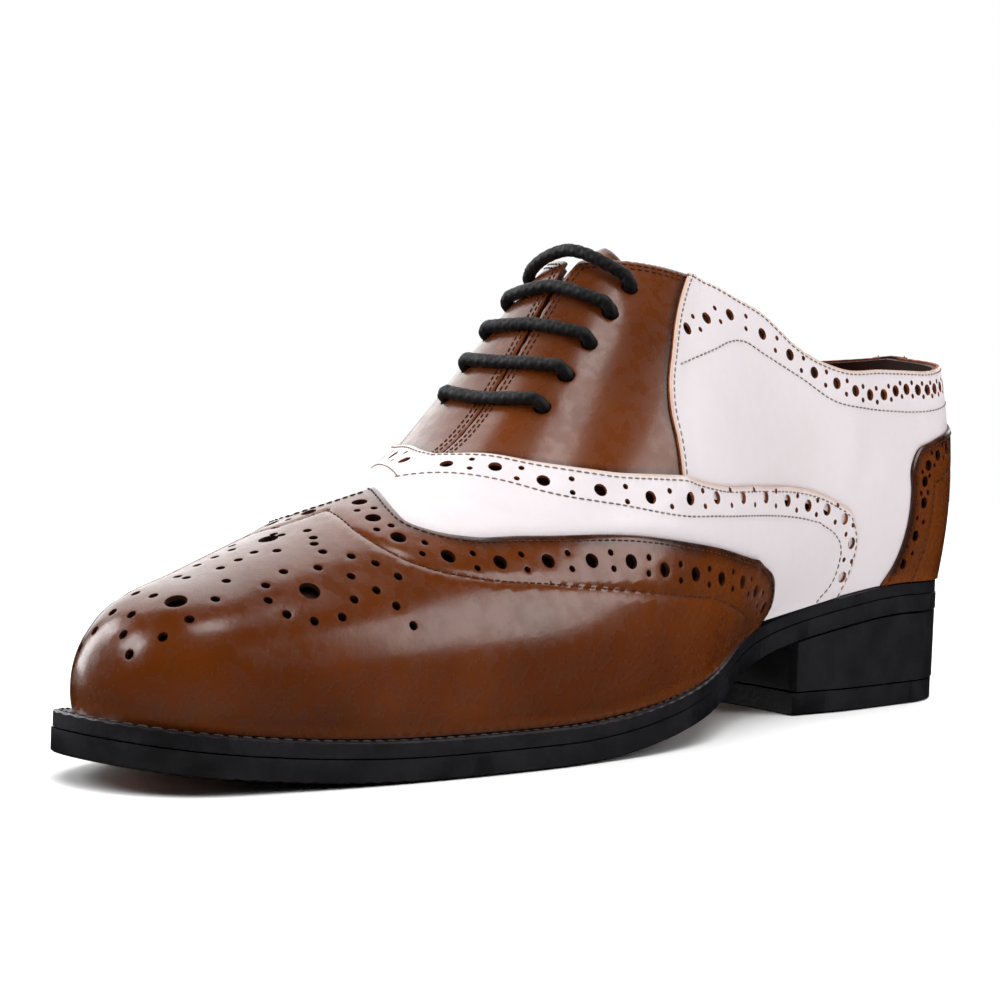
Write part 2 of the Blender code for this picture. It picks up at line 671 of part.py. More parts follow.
def plate(name, layers, finish, ring=False):
    """A sole layer, from outlines of the sole one over another: a plate, or a ring.

    Each outline is (edge, inset, height): edge "sole" follows the welt's outside and "last"
    the upper's, both moved in by the inset.
    """
    bm = bmesh.new()
    places = np.array(PLACES)
    rings = []
    for edge, inset, height in layers:
        sides = []
        for side in (MEDIAL, LATERAL):
            _, station, _ = last_point(places, 0.0, side)
            margin = welt_margin(station, side) if edge == "sole" else np.zeros(len(places))
            x, s = plan_edge(places, side, margin - inset)
            sides.append([sole_point(a, b, height) for a, b in zip(x, s)])
        sides[1][0] = sides[0][0]
        sides[1][-1] = sides[0][-1]
        rings.append(sides)
    count = len(places)
    verts = []
    for sides in rings:
        row = [[bm.verts.new(p) for p in sides[0]]]
        row.append([row[0][0]] + [bm.verts.new(p) for p in sides[1][1:-1]] + [row[0][-1]])
        verts.append(row)

    def band(a, b):
        for k in (0, 1):
            for i in range(count - 1):
                bm.faces.new((a[k][i], a[k][i + 1], b[k][i + 1], b[k][i]))

    def lid(row):
        for i in range(count - 1):
            corners = [row[0][i], row[0][i + 1], row[1][i + 1], row[1][i]]
            unique = [v for k, v in enumerate(corners) if v not in corners[:k]]
            bm.faces.new(unique)

    for a, b in zip(verts, verts[1:]):
        band(a, b)
    if ring:
        band(verts[-1], verts[0])
    else:
        lid(verts[0])
        lid(verts[-1])
    return add_object(name, bm, finish)


def outsole():
    """The leather sole, with a small bevel round its tread."""
    layers = [("sole", SOLE_BEVEL, 0.0), ("sole", 0.0, SOLE_BEVEL), ("sole", 0.0, OUTSOLE_THICKNESS)]
    return plate("outsole", layers, "sole_leather")


def welt():
    """The strip between sole and upper, with a step to the sole below."""
    low, high = OUTSOLE_THICKNESS + GAP, EDGE_HEIGHT
    layers = [("last", UPPER_WALL, low), ("sole", WELT_STEP, low), ("sole", WELT_STEP, high),
              ("last", UPPER_WALL, high)]
    return plate("welt", layers, "black_edge", ring=True)


def insole():
    """The board inside the upper, down to the sole."""
    inset = UPPER_WALL + INSOLE_GAP
    low = OUTSOLE_THICKNESS + GAP
    layers = [("last", inset, low), ("last", inset, low + INSOLE_THICKNESS)]
    return plate("insole", layers, "lining_leather")


def heel_block(name, low, high, finish, follows_sole):
    """A slice of the heel between two heights, with a hollowed breast."""
    bm = bmesh.new()
    place_of_breast = acos(1 - 2 * BREAST / LAST_TIP) / pi
    places = np.array([p for p in PLACES if p < place_of_breast - 4 * SPACE] + [place_of_breast])
    across = np.linspace(0, 1, HEEL_ARC_STEPS + 1)
    layers = []
    for height, tapered in ((low, True), (high, False)):
        edges = []
        for side in (MEDIAL, LATERAL):
            _, station, _ = last_point(places, 0.0, side)
            shrink = HEEL_TAPER * (1 - height / HEEL_HEIGHT)
            x, s = plan_edge(places, side, welt_margin(station, side) - shrink)
            edges.append(np.stack([x, np.minimum(s, BREAST)], -1))
        edges[1][0] = edges[0][0]
        edges[0][-1, 1] = edges[1][-1, 1] = BREAST
        rows = []
        for medial, lateral in zip(*edges):
            points = medial[None] * (1 - across[:, None]) + lateral[None] * across[:, None]
            bow = BREAST_BOW * 4 * across * (1 - across)
            points[:, 1] -= bow * (points[:, 1] / BREAST) ** 4
            rows.append(points)
        top = np.array([[(x, LENGTH / 2 - s, (float(lift(s)) - GAP) if follows_sole and not tapered
                          else height) for x, s in row] for row in rows])
        layers.append(top)
    grids = []
    for layer in layers:
        grid = [[bm.verts.new(p) for p in row] for row in layer]
        back = grid[0][0]
        for v in grid[0][1:]:
            bm.verts.remove(v)
        grid[0] = [back] * len(across)
        grids.append(grid)
    rows = len(places)
    for grid in grids:
        for i in range(rows - 1):
            for j in range(len(across) - 1):
                corners = [grid[i][j], grid[i + 1][j], grid[i + 1][j + 1], grid[i][j + 1]]
                unique = [v for n, v in enumerate(corners) if v not in corners[:n]]
                bm.faces.new(unique)
    rim = [(i, 0) for i in range(rows)] + [(rows - 1, j) for j in range(1, len(across))]
    rim += [(i, len(across) - 1) for i in range(rows - 2, 0, -1)]
    for (i, j), (m, n) in zip(rim, rim[1:] + rim[:1]):
        bm.faces.new((grids[0][i][j], grids[0][m][n], grids[1][m][n], grids[1][i][j]))
    return add_object(name, bm, finish)


def cut_top_piece(obj, keep_front, shift):
    """Keep one side of the slanting joint between the heel's leather and its rubber."""
    medial = Vector((section("medial", 0) * BALL_WIDTH, LENGTH / 2 - SPLIT_MEDIAL, 0))
    lateral = Vector((-section("lateral", 0) * BALL_WIDTH, LENGTH / 2 - SPLIT_LATERAL, 0))
    normal = (lateral - medial).cross(Vector((0, 0, 1))).normalized()
    if normal.y < 0:
        normal = -normal
    plane = medial + normal * shift
    bm = bmesh.new()
    bm.from_mesh(obj.data)
    geometry_all = list(bm.verts) + list(bm.edges) + list(bm.faces)
    bmesh.ops.bisect_plane(bm, geom=geometry_all, plane_co=plane, plane_no=normal,
                           clear_outer=keep_front, clear_inner=not keep_front, dist=SAME / 10)
    rim = [e for e in bm.edges if e.is_boundary]
    bmesh.ops.holes_fill(bm, edges=rim, sides=0)
    bmesh.ops.recalc_face_normals(bm, faces=bm.faces)
    bm.to_mesh(obj.data)
    bm.free()
    return obj


def heel():
    """The stacked heel: block, leather ground piece and rubber ground piece."""
    heel_block("heel_stack", TOP_PIECE_THICKNESS + GAP, HEEL_HEIGHT, "black_edge", True)
    front = heel_block("heel_top_front", 0.0, TOP_PIECE_THICKNESS, "sole_leather", False)
    rear = heel_block("heel_top_rear", 0.0, TOP_PIECE_THICKNESS, "black_rubber", False)
    cut_top_piece(front, True, -GAP / 2)
    cut_top_piece(rear, False, GAP / 2)


def lace_rows():
    """Place and girth of each row of lace holes, toe end first."""
    places = np.linspace(LACE_FIRST, LACE_LAST, LACE_ROWS)
    return list(zip(places, np.linspace(LACE_GIRTH_FIRST, LACE_GIRTH_LAST, LACE_ROWS)))


def punch(obj):
    """Cut the lace holes through a wall."""
    bm = bmesh.new()
    for place, girth in lace_rows():
        for side in (MEDIAL, LATERAL):
            centre = skin(place, girth, side)
            normal = Vector(skin_normal(place, girth, side))
            turn = normal.to_track_quat("Z", "Y").to_matrix().to_4x4()
            turn.translation = Vector(centre)
            bmesh.ops.create_cone(bm, cap_ends=True, segments=HOLE_SIDES, radius1=LACE_HOLE / 2,
                                  radius2=LACE_HOLE / 2, depth=6 * UPPER_WALL, matrix=turn)
    mesh = bpy.data.meshes.new(obj.name + "_holes")
    bm.to_mesh(mesh)
    bm.free()
    cutter = bpy.data.objects.new(obj.name + "_holes", mesh)
    bpy.context.collection.objects.link(cutter)
    cutter.hide_render = True
    cutter.display_type = "WIRE"
    cut = obj.modifiers.new("lace holes", "BOOLEAN")
    cut.operation = "DIFFERENCE"
    cut.solver = "EXACT"
    cut.object = cutter


def lace_bar(number, place, girth):
    """One straight bar of the lace, arched over the throat, its ends in two holes."""
    radius = LACE_DIAMETER / 2
    rest = GAP + OVERLAY + GAP + radius
    ends = []
    for side in (MEDIAL, LATERAL):
        hole = skin(place, girth, side)
        n = skin_normal(place, girth, side)
        ends.append([hole + n * out for out in (-UPPER_WALL / 2, rest / 2)])
    over = []
    for share in np.linspace(-1, 1, LACE_POINTS):
        side = MEDIAL if share <= 0 else LATERAL
        at = 1 - abs(share) * (1 - girth) * LACE_BEND
        rise = rest + LACE_ARCH * (1 - share * share)
        over.append(skin(place, at, side) + skin_normal(place, at, side) * rise)
    points = np.array(ends[0] + over + ends[1][::-1])
    curve = bpy.data.curves.new("lace_bar_%d" % number, "CURVE")
    curve.dimensions = "3D"
    spline = curve.splines.new("POLY")
    spline.points.add(len(points) - 1)
    for target, p in zip(spline.points, points):
        target.co = (*p, 1.0)
    curve.bevel_depth = radius
    curve.bevel_resolution = 2
    curve.use_fill_caps = True
    curve.materials.append(finish_material("black_lace"))
    obj = bpy.data.objects.new(curve.name, curve)
    bpy.context.collection.objects.link(obj)
    return obj


def centre_over_origin():
    """Move everything so that the middle of the bottom of its box is the origin."""
    bpy.context.view_layer.update()
    depsgraph = bpy.context.evaluated_depsgraph_get()
    corners = []
    for obj in bpy.data.objects:
        if obj.hide_render:
            continue
        mesh = obj.evaluated_get(depsgraph).to_mesh()
        corners += [tuple(obj.matrix_world @ v.co) for v in mesh.vertices]
        obj.evaluated_get(depsgraph).to_mesh_clear()
    corners = np.array(corners)
    low, high = corners.min(0), corners.max(0)
    shift = Vector((-(low[0] + high[0]) / 2, -(low[1] + high[1]) / 2, -low[2]))
    for obj in bpy.data.objects:
        obj.location += shift


def main():
    for obj in list(bpy.data.objects):
        bpy.data.objects.remove(obj, do_unlink=True)
    shell = Shell()
    wall = upper(shell)
    outsole()
    welt()
    insole()
    heel()
    wing_cap(shell)
    vamp(shell)
    counter(shell)
    facings = [facing("facing_medial", shell, MEDIAL), facing("facing_lateral", shell, LATERAL)]
    tongue(shell)
    for pierced in [wall] + facings:
        punch(pierced)
    for number, (place, girth) in enumerate(lace_rows(), 1):
        lace_bar(number, place, girth)
    centre_over_origin()


main()
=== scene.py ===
"""Looks of a two-tone wingtip Oxford for the right foot: cognac and white calf, black edges.

Metres, +Z up, toe towards -Y, +X on the inner (medial) side of the foot.
Every leather panel is cut from one surface, the last, on flat charts of it.
"""
import json
from functools import lru_cache
from math import acos, pi, radians

import bmesh
import bpy
import numpy as np
from mathutils import Matrix, Vector, geometry, kdtree
from mathutils.bvhtree import BVHTree

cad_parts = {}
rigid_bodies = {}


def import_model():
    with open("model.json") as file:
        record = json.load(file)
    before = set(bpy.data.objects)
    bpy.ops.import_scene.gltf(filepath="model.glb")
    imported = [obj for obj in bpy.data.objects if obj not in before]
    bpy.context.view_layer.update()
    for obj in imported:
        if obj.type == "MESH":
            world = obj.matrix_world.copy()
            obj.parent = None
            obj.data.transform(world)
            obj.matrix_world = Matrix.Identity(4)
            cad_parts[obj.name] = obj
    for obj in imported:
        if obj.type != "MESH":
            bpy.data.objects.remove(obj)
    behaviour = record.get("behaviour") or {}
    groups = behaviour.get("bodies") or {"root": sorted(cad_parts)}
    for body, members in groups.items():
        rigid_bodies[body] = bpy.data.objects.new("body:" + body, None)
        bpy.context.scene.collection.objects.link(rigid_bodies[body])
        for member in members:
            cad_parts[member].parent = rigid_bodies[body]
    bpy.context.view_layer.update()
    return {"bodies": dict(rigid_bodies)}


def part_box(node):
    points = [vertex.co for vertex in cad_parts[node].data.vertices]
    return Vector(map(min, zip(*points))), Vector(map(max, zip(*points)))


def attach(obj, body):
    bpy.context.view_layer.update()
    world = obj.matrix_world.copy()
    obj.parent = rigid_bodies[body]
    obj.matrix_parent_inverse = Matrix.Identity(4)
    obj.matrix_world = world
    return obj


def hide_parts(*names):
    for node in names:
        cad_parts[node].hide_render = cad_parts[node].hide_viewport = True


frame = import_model()
BODY = next(iter(frame["bodies"]))

bl_info = {
    "name": "Wingtip Oxford",
    "version": (1, 0, 0),
    "blender": (4, 5, 0),
    "location": "3D View > Sidebar > Shoe",
    "description": "Builds the finished leather, stitching, lace and sole of a wingtip Oxford",
    "category": "Object",
}

# Sizes of the last, the sole and the heel: the same as the model's, since the leather fits them
LENGTH = 0.310
BALL_WIDTH = 0.098
INSTEP_HEIGHT = 0.104
HEEL_HEIGHT = 0.026
TOE_SPRING = 0.006
HEEL_RADIUS = 0.034
HEEL_ROUNDNESS = 2.15
OUTSOLE_THICKNESS = 0.005
WELT_THICKNESS = 0.0034
GAP = 0.0003
WELT_AT_TOE = 0.006
WELT_AT_BALL = 0.0045
WELT_AT_WAIST = 0.0018
WELT_AT_HEEL = 0.001
BREAST = 0.087
BREAST_BOW = 0.004
SPLIT_MEDIAL = 0.033
SPLIT_LATERAL = 0.053
TOP_PIECE = 0.006
INSOLE_THICKNESS = 0.0055
THROAT_OPENING = 0.005
THROAT = 0.605
FACING_TOP = 0.506
SEAT_END = 0.11
FLOOR_START = 0.655
SPRING_START = 0.76
LOW_GIRTH = 0.16
UPPER_WALL = 0.002

# Sections of the last, as shares of BALL_WIDTH and INSTEP_HEIGHT: see last_point
SECTION_COLUMNS = ("place", "medial", "lateral", "ridge_x", "ridge", "widest",
                   "bulge_medial", "bulge_lateral", "power")
SECTIONS = (
    (0.00, 0.294, 0.388, -0.048, 0.950, 0.27, 0.030, 0.030, 2.30),
    (0.22, 0.294, 0.388, -0.048, 1.000, 0.24, 0.025, 0.025, 2.10),
    (0.30, 0.300, 0.388, -0.040, 1.060, 0.22, 0.035, 0.025, 2.00),
    (0.40, 0.286, 0.410, -0.015, 1.120, 0.20, 0.070, 0.030, 1.80),
    (0.50, 0.464, 0.455, 0.030, 1.020, 0.19, 0.025, 0.030, 1.65),
    (0.60, 0.491, 0.428, 0.070, 0.600, 0.26, 0.025, 0.030, 1.75),
    (0.70, 0.456, 0.253, 0.110, 0.430, 0.30, 0.020, 0.030, 2.00),
    (0.80, 0.389, 0.095, 0.130, 0.305, 0.32, 0.018, 0.020, 2.20),
    (0.90, 0.308, -0.010, 0.140, 0.205, 0.34, 0.015, 0.015, 2.30),
    (0.95, 0.230, -0.056, 0.138, 0.125, 0.34, 0.010, 0.010, 2.30),
    (1.00, 0.133, -0.133, 0.133, 0.000, 0.34, 0.000, 0.000, 2.30),
)
COLUMNS = {name: tuple((row[0], row[k]) for row in SECTIONS)
           for k, name in enumerate(SECTION_COLUMNS) if k}
TOPLINE = (
    (0.00, 0.625), (0.12, 0.600), (0.22, 0.575), (0.28, 0.583), (0.33, 0.605),
    (0.37, 0.685), (0.40, 0.795), (0.42, 0.845), (0.435, 0.885), (0.454, 0.925),
    (0.476, 0.965), (0.496, 0.992), (0.506, 1.000),
)
WELT_MARGINS = (
    (0.00, WELT_AT_HEEL), (0.16, WELT_AT_HEEL), (0.36, WELT_AT_WAIST), (0.62, WELT_AT_BALL),
    (0.80, (WELT_AT_BALL + WELT_AT_TOE) / 2), (1.00, WELT_AT_TOE),
)

# Panel edges: place along the last, girth from the welt (0) to the ridge (1)
WING_REAR = (
    (0.402, 0.000), (0.396, 0.035), (0.402, 0.080), (0.430, 0.150), (0.484, 0.290),
    (0.520, 0.360), (0.575, 0.460),
)
WING_FRONT_MEDIAL = (
    (0.620, 0.530), (0.648, 0.570), (0.667, 0.630), (0.677, 0.710), (0.675, 0.800),
    (0.668, 0.900), (0.659, 1.000),
)
WING_FRONT_LATERAL = (
    (0.628, 0.540), (0.664, 0.590), (0.689, 0.660), (0.701, 0.750), (0.700, 0.840),
    (0.686, 0.930), (0.659, 1.000),
)
SWAN_NECK = (
    (0.320, 0.000), (0.314, 0.050), (0.313, 0.100), (0.321, 0.145), (0.337, 0.196),
    (0.359, 0.268), (0.384, 0.328), (0.430, 0.400), (0.480, 0.460), (0.510, 0.515),
    (0.555, 0.600), (0.584, 0.720), (0.600, 0.850), (0.608, 0.930), (0.611, 1.000),
)
FACING_REAR = (
    (0.511, 0.480), (0.509, 0.530), (0.507, 0.600), (0.506, 0.660), (0.501, 0.715),
    (0.492, 0.760), (0.481, 0.804), (0.467, 0.840), (0.455, 0.862),
)
COUNTER_EDGE = (
    (0.270, 0.000), (0.252, 0.050), (0.243, 0.110), (0.241, 0.180), (0.243, 0.270),
    (0.234, 0.337), (0.205, 0.373), (0.160, 0.400), (0.100, 0.425), (0.055, 0.455),
    (0.033, 0.520), (0.026, 0.620),
)
# Centres of the large brogue holes, and the stitched lines inside the bands
WING_HOLES = (
    (0.411, 0.050), (0.436, 0.106), (0.459, 0.151), (0.486, 0.206), (0.511, 0.256), (0.536, 0.302),
    (0.559, 0.357), (0.584, 0.397), (0.611, 0.432), (0.641, 0.462), (0.671, 0.523), (0.691, 0.653),
    (0.691, 0.794), (0.682, 0.930),
)
WING_INNER = (
    (0.431, 0.045), (0.454, 0.090), (0.524, 0.216), (0.608, 0.357), (0.658, 0.427), (0.681, 0.482),
    (0.696, 0.548), (0.704, 0.633), (0.707, 0.759), (0.702, 0.894), (0.697, 1.000),
)
VAMP_HOLES = (
    (0.324, 0.040), (0.322, 0.101), (0.334, 0.151), (0.354, 0.201), (0.374, 0.246), (0.397, 0.302),
    (0.424, 0.357), (0.454, 0.397), (0.484, 0.432), (0.509, 0.457), (0.536, 0.497), (0.564, 0.568),
    (0.589, 0.668), (0.604, 0.789), (0.619, 0.910),
)
VAMP_INNER = (
    (0.344, 0.005), (0.334, 0.035), (0.332, 0.070), (0.333, 0.095), (0.342, 0.126), (0.359, 0.156),
    (0.382, 0.211), (0.431, 0.307), (0.484, 0.382), (0.516, 0.422), (0.549, 0.492), (0.586, 0.608),
    (0.611, 0.759), (0.626, 0.874), (0.641, 1.000),
)
TOP_HOLES = (
    (0.474, 0.785), (0.454, 0.790), (0.431, 0.785), (0.403, 0.742), (0.379, 0.690), (0.357, 0.637),
    (0.335, 0.595), (0.315, 0.562), (0.297, 0.542), (0.279, 0.536), (0.262, 0.543), (0.245, 0.546),
    (0.226, 0.544), (0.206, 0.544), (0.186, 0.546), (0.164, 0.549), (0.140, 0.553), (0.114, 0.558),
    (0.086, 0.563), (0.056, 0.568),
)
COUNTER_HOLES = (
    (0.244, 0.036), (0.231, 0.086), (0.222, 0.145), (0.222, 0.215), (0.216, 0.280), (0.195, 0.318),
    (0.168, 0.338), (0.139, 0.356), (0.108, 0.374),
)
QUARTER_BAND = (
    (0.494, 0.734), (0.454, 0.739), (0.436, 0.744), (0.424, 0.739), (0.406, 0.709),
    (0.374, 0.643), (0.334, 0.543), (0.299, 0.503), (0.257, 0.480), (0.200, 0.480),
    (0.120, 0.500), (0.000, 0.520),
)

LAST_TIP = LENGTH - WELT_AT_TOE
LAST_BACK = WELT_AT_HEEL
HEEL_CENTRE = LAST_BACK + HEEL_RADIUS
HEEL_PLACE = acos(1 - 2 * HEEL_CENTRE / LAST_TIP) / pi
EDGE_HEIGHT = OUTSOLE_THICKNESS + GAP + WELT_THICKNESS
CHART = np.array([1.4 * LENGTH, INSTEP_HEIGHT])
MEDIAL, LATERAL = 1, -1
STEP = 1e-4
TINY = 1e-9
SAME = 2e-6


def lengths(points):
    """Length of a line up to each of its points."""
    return np.r_[0, np.cumsum(np.linalg.norm(np.diff(points, axis=0), axis=1))]


@lru_cache(maxsize=64)
def cubic(rows):
    """Places, values, steps and slopes of a smooth curve through rows of (place, value)."""
    xs, ys = np.array(rows, float).T
    steps = np.diff(xs)
    slopes = np.diff(ys) / steps
    tangents = np.empty_like(ys)
    tangents[0] = slopes[0]
    tangents[-1] = slopes[-1]
    tangents[1:-1] = (slopes[:-1] * steps[1:] + slopes[1:] * steps[:-1]) / (steps[:-1] + steps[1:])
    return xs, ys, steps, tangents


def through(rows, x):
    """Cubic that passes through rows of (place, value) without wiggling."""
    xs, ys, steps, tangents = cubic(tuple(rows))
    x = np.asarray(x, float)
    i = np.clip(np.searchsorted(xs, x, side="right") - 1, 0, len(xs) - 2)
    w = (x - xs[i]) / steps[i]
    start = (2 * w**3 - 3 * w**2 + 1) * ys[i] + (w**3 - 2 * w**2 + w) * steps[i] * tangents[i]
    end = (3 * w**2 - 2 * w**3) * ys[i + 1] + (w**3 - w**2) * steps[i] * tangents[i + 1]
    return start + end


def section(name, place):
    """One column of the table of sections, at any place along the last."""
    return through(COLUMNS[name], place)


def ramp(x):
    """Smooth step from 0 to 1."""
    x = np.clip(x, 0.0, 1.0)
    return x * x * (3 - 2 * x)


def lift(station):
    """Height of the sole's underside over the floor: seat, waist, ball and toe spring."""
    share = np.asarray(station, float) / LENGTH
    seat = 1 - ramp((share - SEAT_END) / (FLOOR_START - SEAT_END))
    toe = np.clip((share - SPRING_START) / (1 - SPRING_START), 0, 1) ** 2
    return HEEL_HEIGHT * seat + TOE_SPRING * toe


def last_point(place, girth, side):
    """x, station from the back, and height over the welt, before the heel's pitch."""
    place, girth = np.broadcast_arrays(np.asarray(place, float), np.asarray(girth, float))
    along = np.maximum(place, HEEL_PLACE)
    medial = side > 0
    ridge_x = section("ridge_x", place) * BALL_WIDTH
    edge = section("medial" if medial else "lateral", along) * BALL_WIDTH
    angle = np.clip(1 - place / HEEL_PLACE, 0, 1) * pi / 2
    across, back = np.cos(angle), np.sin(angle)
    half = np.maximum(np.abs(edge * side - ridge_x), TINY)
    foot = ((across / half) ** HEEL_ROUNDNESS + (back / HEEL_RADIUS) ** HEEL_ROUNDNESS)
    foot = foot ** (-1 / HEEL_ROUNDNESS)
    foot = np.where(place >= 1, 0.0, foot)
    bulge = section("bulge_medial" if medial else "bulge_lateral", place) * BALL_WIDTH
    ridge = section("ridge", place) * INSTEP_HEIGHT
    widest = section("widest", place) * ridge
    power = section("power", place)
    low = np.clip(girth / LOW_GIRTH, 0, 1)
    turn = np.clip((girth - LOW_GIRTH) / (1 - LOW_GIRTH), 0, 1) * pi / 2
    wide = np.maximum(foot + bulge, TINY)
    tall = np.maximum(ridge - widest, TINY)
    reach = ((np.cos(turn) / wide) ** power + (np.sin(turn) / tall) ** power) ** (-1 / power)
    is_low = girth < LOW_GIRTH
    out = np.where(is_low, foot + bulge * np.sin(low * pi / 2), reach * np.cos(turn))
    out = np.where(girth >= 1, 0.0, out)
    height = np.where(is_low, widest * low, widest + reach * np.sin(turn))
    station = LAST_TIP * (1 - np.cos(pi * along)) / 2 - back * out
    return ridge_x + side * across * out, station, height


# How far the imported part's middle lies from the axis and the half length of the last
SHIFT = np.zeros(3)


def raised(x, station, height):
    """A point of the shoe, from its place over the welt."""
    points = np.stack([x, LENGTH / 2 - station, height + lift(station) + EDGE_HEIGHT + GAP], -1)
    return points + SHIFT


def skin(place, girth, side):
    """Points on the outside of the last."""
    return raised(*last_point(place, girth, side))


def skin_normal(place, girth, side):
    """Unit vectors that point out of the last; level along its bottom edge."""
    place, girth = np.broadcast_arrays(np.asarray(place, float), np.asarray(girth, float))
    p = np.clip(place, STEP, 1 - 40 * STEP)
    g = np.clip(girth, STEP, 1 - STEP)
    along = skin(p + STEP, g, side) - skin(p - STEP, g, side)
    up = skin(p, g + STEP, side) - skin(p, g - STEP, side)
    n = np.cross(up, along) * side
    n[..., 2] *= ramp(girth / 0.05)
    n[..., 0] = np.where((girth >= 1) & (place < HEEL_PLACE), 0.0, n[..., 0])
    n[place >= 1] = (0.0, -1.0, 0.0)
    return n / np.linalg.norm(n, axis=-1, keepdims=True)


def slit_girth(place):
    """Girth of the throat's edge at places in front of the collar's top."""
    open_share = np.clip((THROAT - np.asarray(place, float)) / (THROAT - FACING_TOP), 0, 1)
    return 1 - open_share * THROAT_OPENING / 2 / (INSTEP_HEIGHT * pi / 2)


def topline_girth(place, side):
    """Girth at which the upper ends: the collar, the throat's edge or the ridge."""
    girths = np.linspace(0, 1, 801)
    ends = []
    for p in np.atleast_1d(place):
        if p >= FACING_TOP:
            ends.append(float(slit_girth(p)))
            continue
        _, _, heights = last_point(p, girths, side)
        collar = through(TOPLINE, p) * INSTEP_HEIGHT
        ends.append(min(float(slit_girth(p)), float(np.interp(collar, heights, girths))))
    return np.array(ends)


def welt_margin(station, side):
    """How far the welt stands out from the upper at a station; it is wider on the lateral waist."""
    spread = 0.0 if side == MEDIAL else (WELT_AT_BALL - WELT_AT_WAIST) / 2
    rows = [(share * LENGTH, margin + spread * (margin == WELT_AT_WAIST))
            for share, margin in WELT_MARGINS]
    return through(rows, station)


def plan_edge(places, side, margin_share, inset):
    """Plan of the sole's outline: x and y. margin_share 1 is the welt's outside, 0 the upper's."""
    x, station, _ = last_point(places, 0.0, side)
    n = skin_normal(places, np.zeros(len(places)), side)
    out = welt_margin(station, side) * margin_share - inset
    station = station - n[:, 1] * out
    return x + n[:, 0] * out, station


def locate_frame():
    """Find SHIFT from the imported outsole's box."""
    places = np.linspace(0, 1, 400)
    x, _ = plan_edge(places, MEDIAL, 1.0, 0.0)
    low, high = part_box("outsole")
    SHIFT[0] = high.x - x.max()
    SHIFT[1] = low.y + LENGTH / 2


locate_frame()


# Plans of the sole, with points (x, distance from the back): height, whether it follows the
# sole's lift, and which way it faces
PLANS = {
    "tread": (0.0, 1, -1),
    "welt": (EDGE_HEIGHT, 1, 1),
    "floor": (0.0, 0, -1),
}


def metric(chart):
    """Metres for each unit of a chart, near enough to space points by."""
    return np.ones(2) if chart in PLANS else CHART


def unfold(chart, points):
    """Place, girth and side of points on a chart.

    "ridge" lays the two sides out from the ridge: (place, (1 - girth) * side).
    "seam" lays them out from the back seam: (place * side, girth).
    """
    if chart == "ridge":
        side = np.where(points[:, 1] >= 0, MEDIAL, LATERAL)
        return points[:, 0], 1 - np.abs(points[:, 1]), side
    side = np.where(points[:, 0] >= 0, MEDIAL, LATERAL)
    return np.abs(points[:, 0]), points[:, 1], side


# Soft hollows (-) and swellings (+) of the worn-in leather: place, girth, depth in mm,
# reach along and reach up in mm, turn in degrees
CREASES = (
    (0.560, 1.00, -1.8, 24.0, 13.0, 0.0),
    (0.300, 0.36, -0.9, 7.0, 26.0, 6.0),
    (0.335, 0.30, 0.5, 9.0, 24.0, 8.0),
    (0.628, 0.66, -0.35, 2.6, 13.0, -28.0),
    (0.640, 0.70, 0.25, 2.4, 12.0, -28.0),
    (0.652, 0.62, -0.22, 2.2, 10.0, -24.0),
    (0.470, 0.62, 0.40, 12.0, 12.0, 0.0),
    (0.525, 0.70, -0.35, 9.0, 14.0, 20.0),
)


def relief(place, girth):
    """How far the leather swells out, from the table of soft hollows."""
    total = np.zeros(len(place))
    for p, g, depth, along, up, turn in CREASES:
        u = (place - p) * CHART[0] * 1000
        v = (girth - g) * CHART[1] * 1500
        c, s = np.cos(radians(turn)), np.sin(radians(turn))
        a, b = u * c + v * s, v * c - u * s
        total += depth * np.exp(-((a / along) ** 2) - (b / up) ** 2)
    return total / 1000


def chart_skin(chart, points, out=0.0):
    """Positions and outward normals at chart points, at distances out of the last."""
    points = np.asarray(points, float).reshape(-1, 2)
    if chart in PLANS:
        height, follows, up = PLANS[chart]
        x, station = points.T
        centre = np.stack([x, LENGTH / 2 - station, height + follows * lift(station)], -1)
        normal = np.zeros_like(centre)
        normal[:, 2] = up
        out = np.broadcast_to(np.asarray(out, float), len(points))[:, None]
        return centre + SHIFT + normal * out, normal
    place, girth, side = unfold(chart, points)
    place, girth = np.clip(place, 0, 1), np.clip(girth, 0, 1)
    medial = skin(place, girth, MEDIAL), skin_normal(place, girth, MEDIAL)
    lateral = skin(place, girth, LATERAL), skin_normal(place, girth, LATERAL)
    on_medial = (side == MEDIAL)[:, None]
    centre = np.where(on_medial, medial[0], lateral[0])
    normal = np.where(on_medial, medial[1], lateral[1])
    line = points[:, 1] if chart == "ridge" else points[:, 0]
    on_line = (np.abs(line) < SAME)[:, None]
    normal = np.where(on_line, medial[1] + lateral[1], normal)
    normal /= np.linalg.norm(normal, axis=1)[:, None]
    out = np.broadcast_to(np.asarray(out, float), len(points)) + relief(place, girth)
    return centre + normal * out[:, None], normal


def chart_steps(chart, points):
    """For each chart point, the chart step that goes one metre along each of two unit tangents."""
    points = np.array(points, float).reshape(-1, 2)
    if chart not in PLANS:
        points = np.clip(points, -1 + 6 * STEP, 1 - 6 * STEP)
    if chart == "seam":
        points[:, 1] = np.maximum(points[:, 1], 6 * STEP)
    ends = []
    for k in (0, 1):
        offset = np.zeros(2)
        offset[k] = 5 * STEP
        ahead, _ = chart_skin(chart, points + offset)
        behind, _ = chart_skin(chart, points - offset)
        ends.append((ahead - behind) / (10 * STEP))
    jacobian = np.stack(ends, -1)
    return np.linalg.pinv(jacobian)


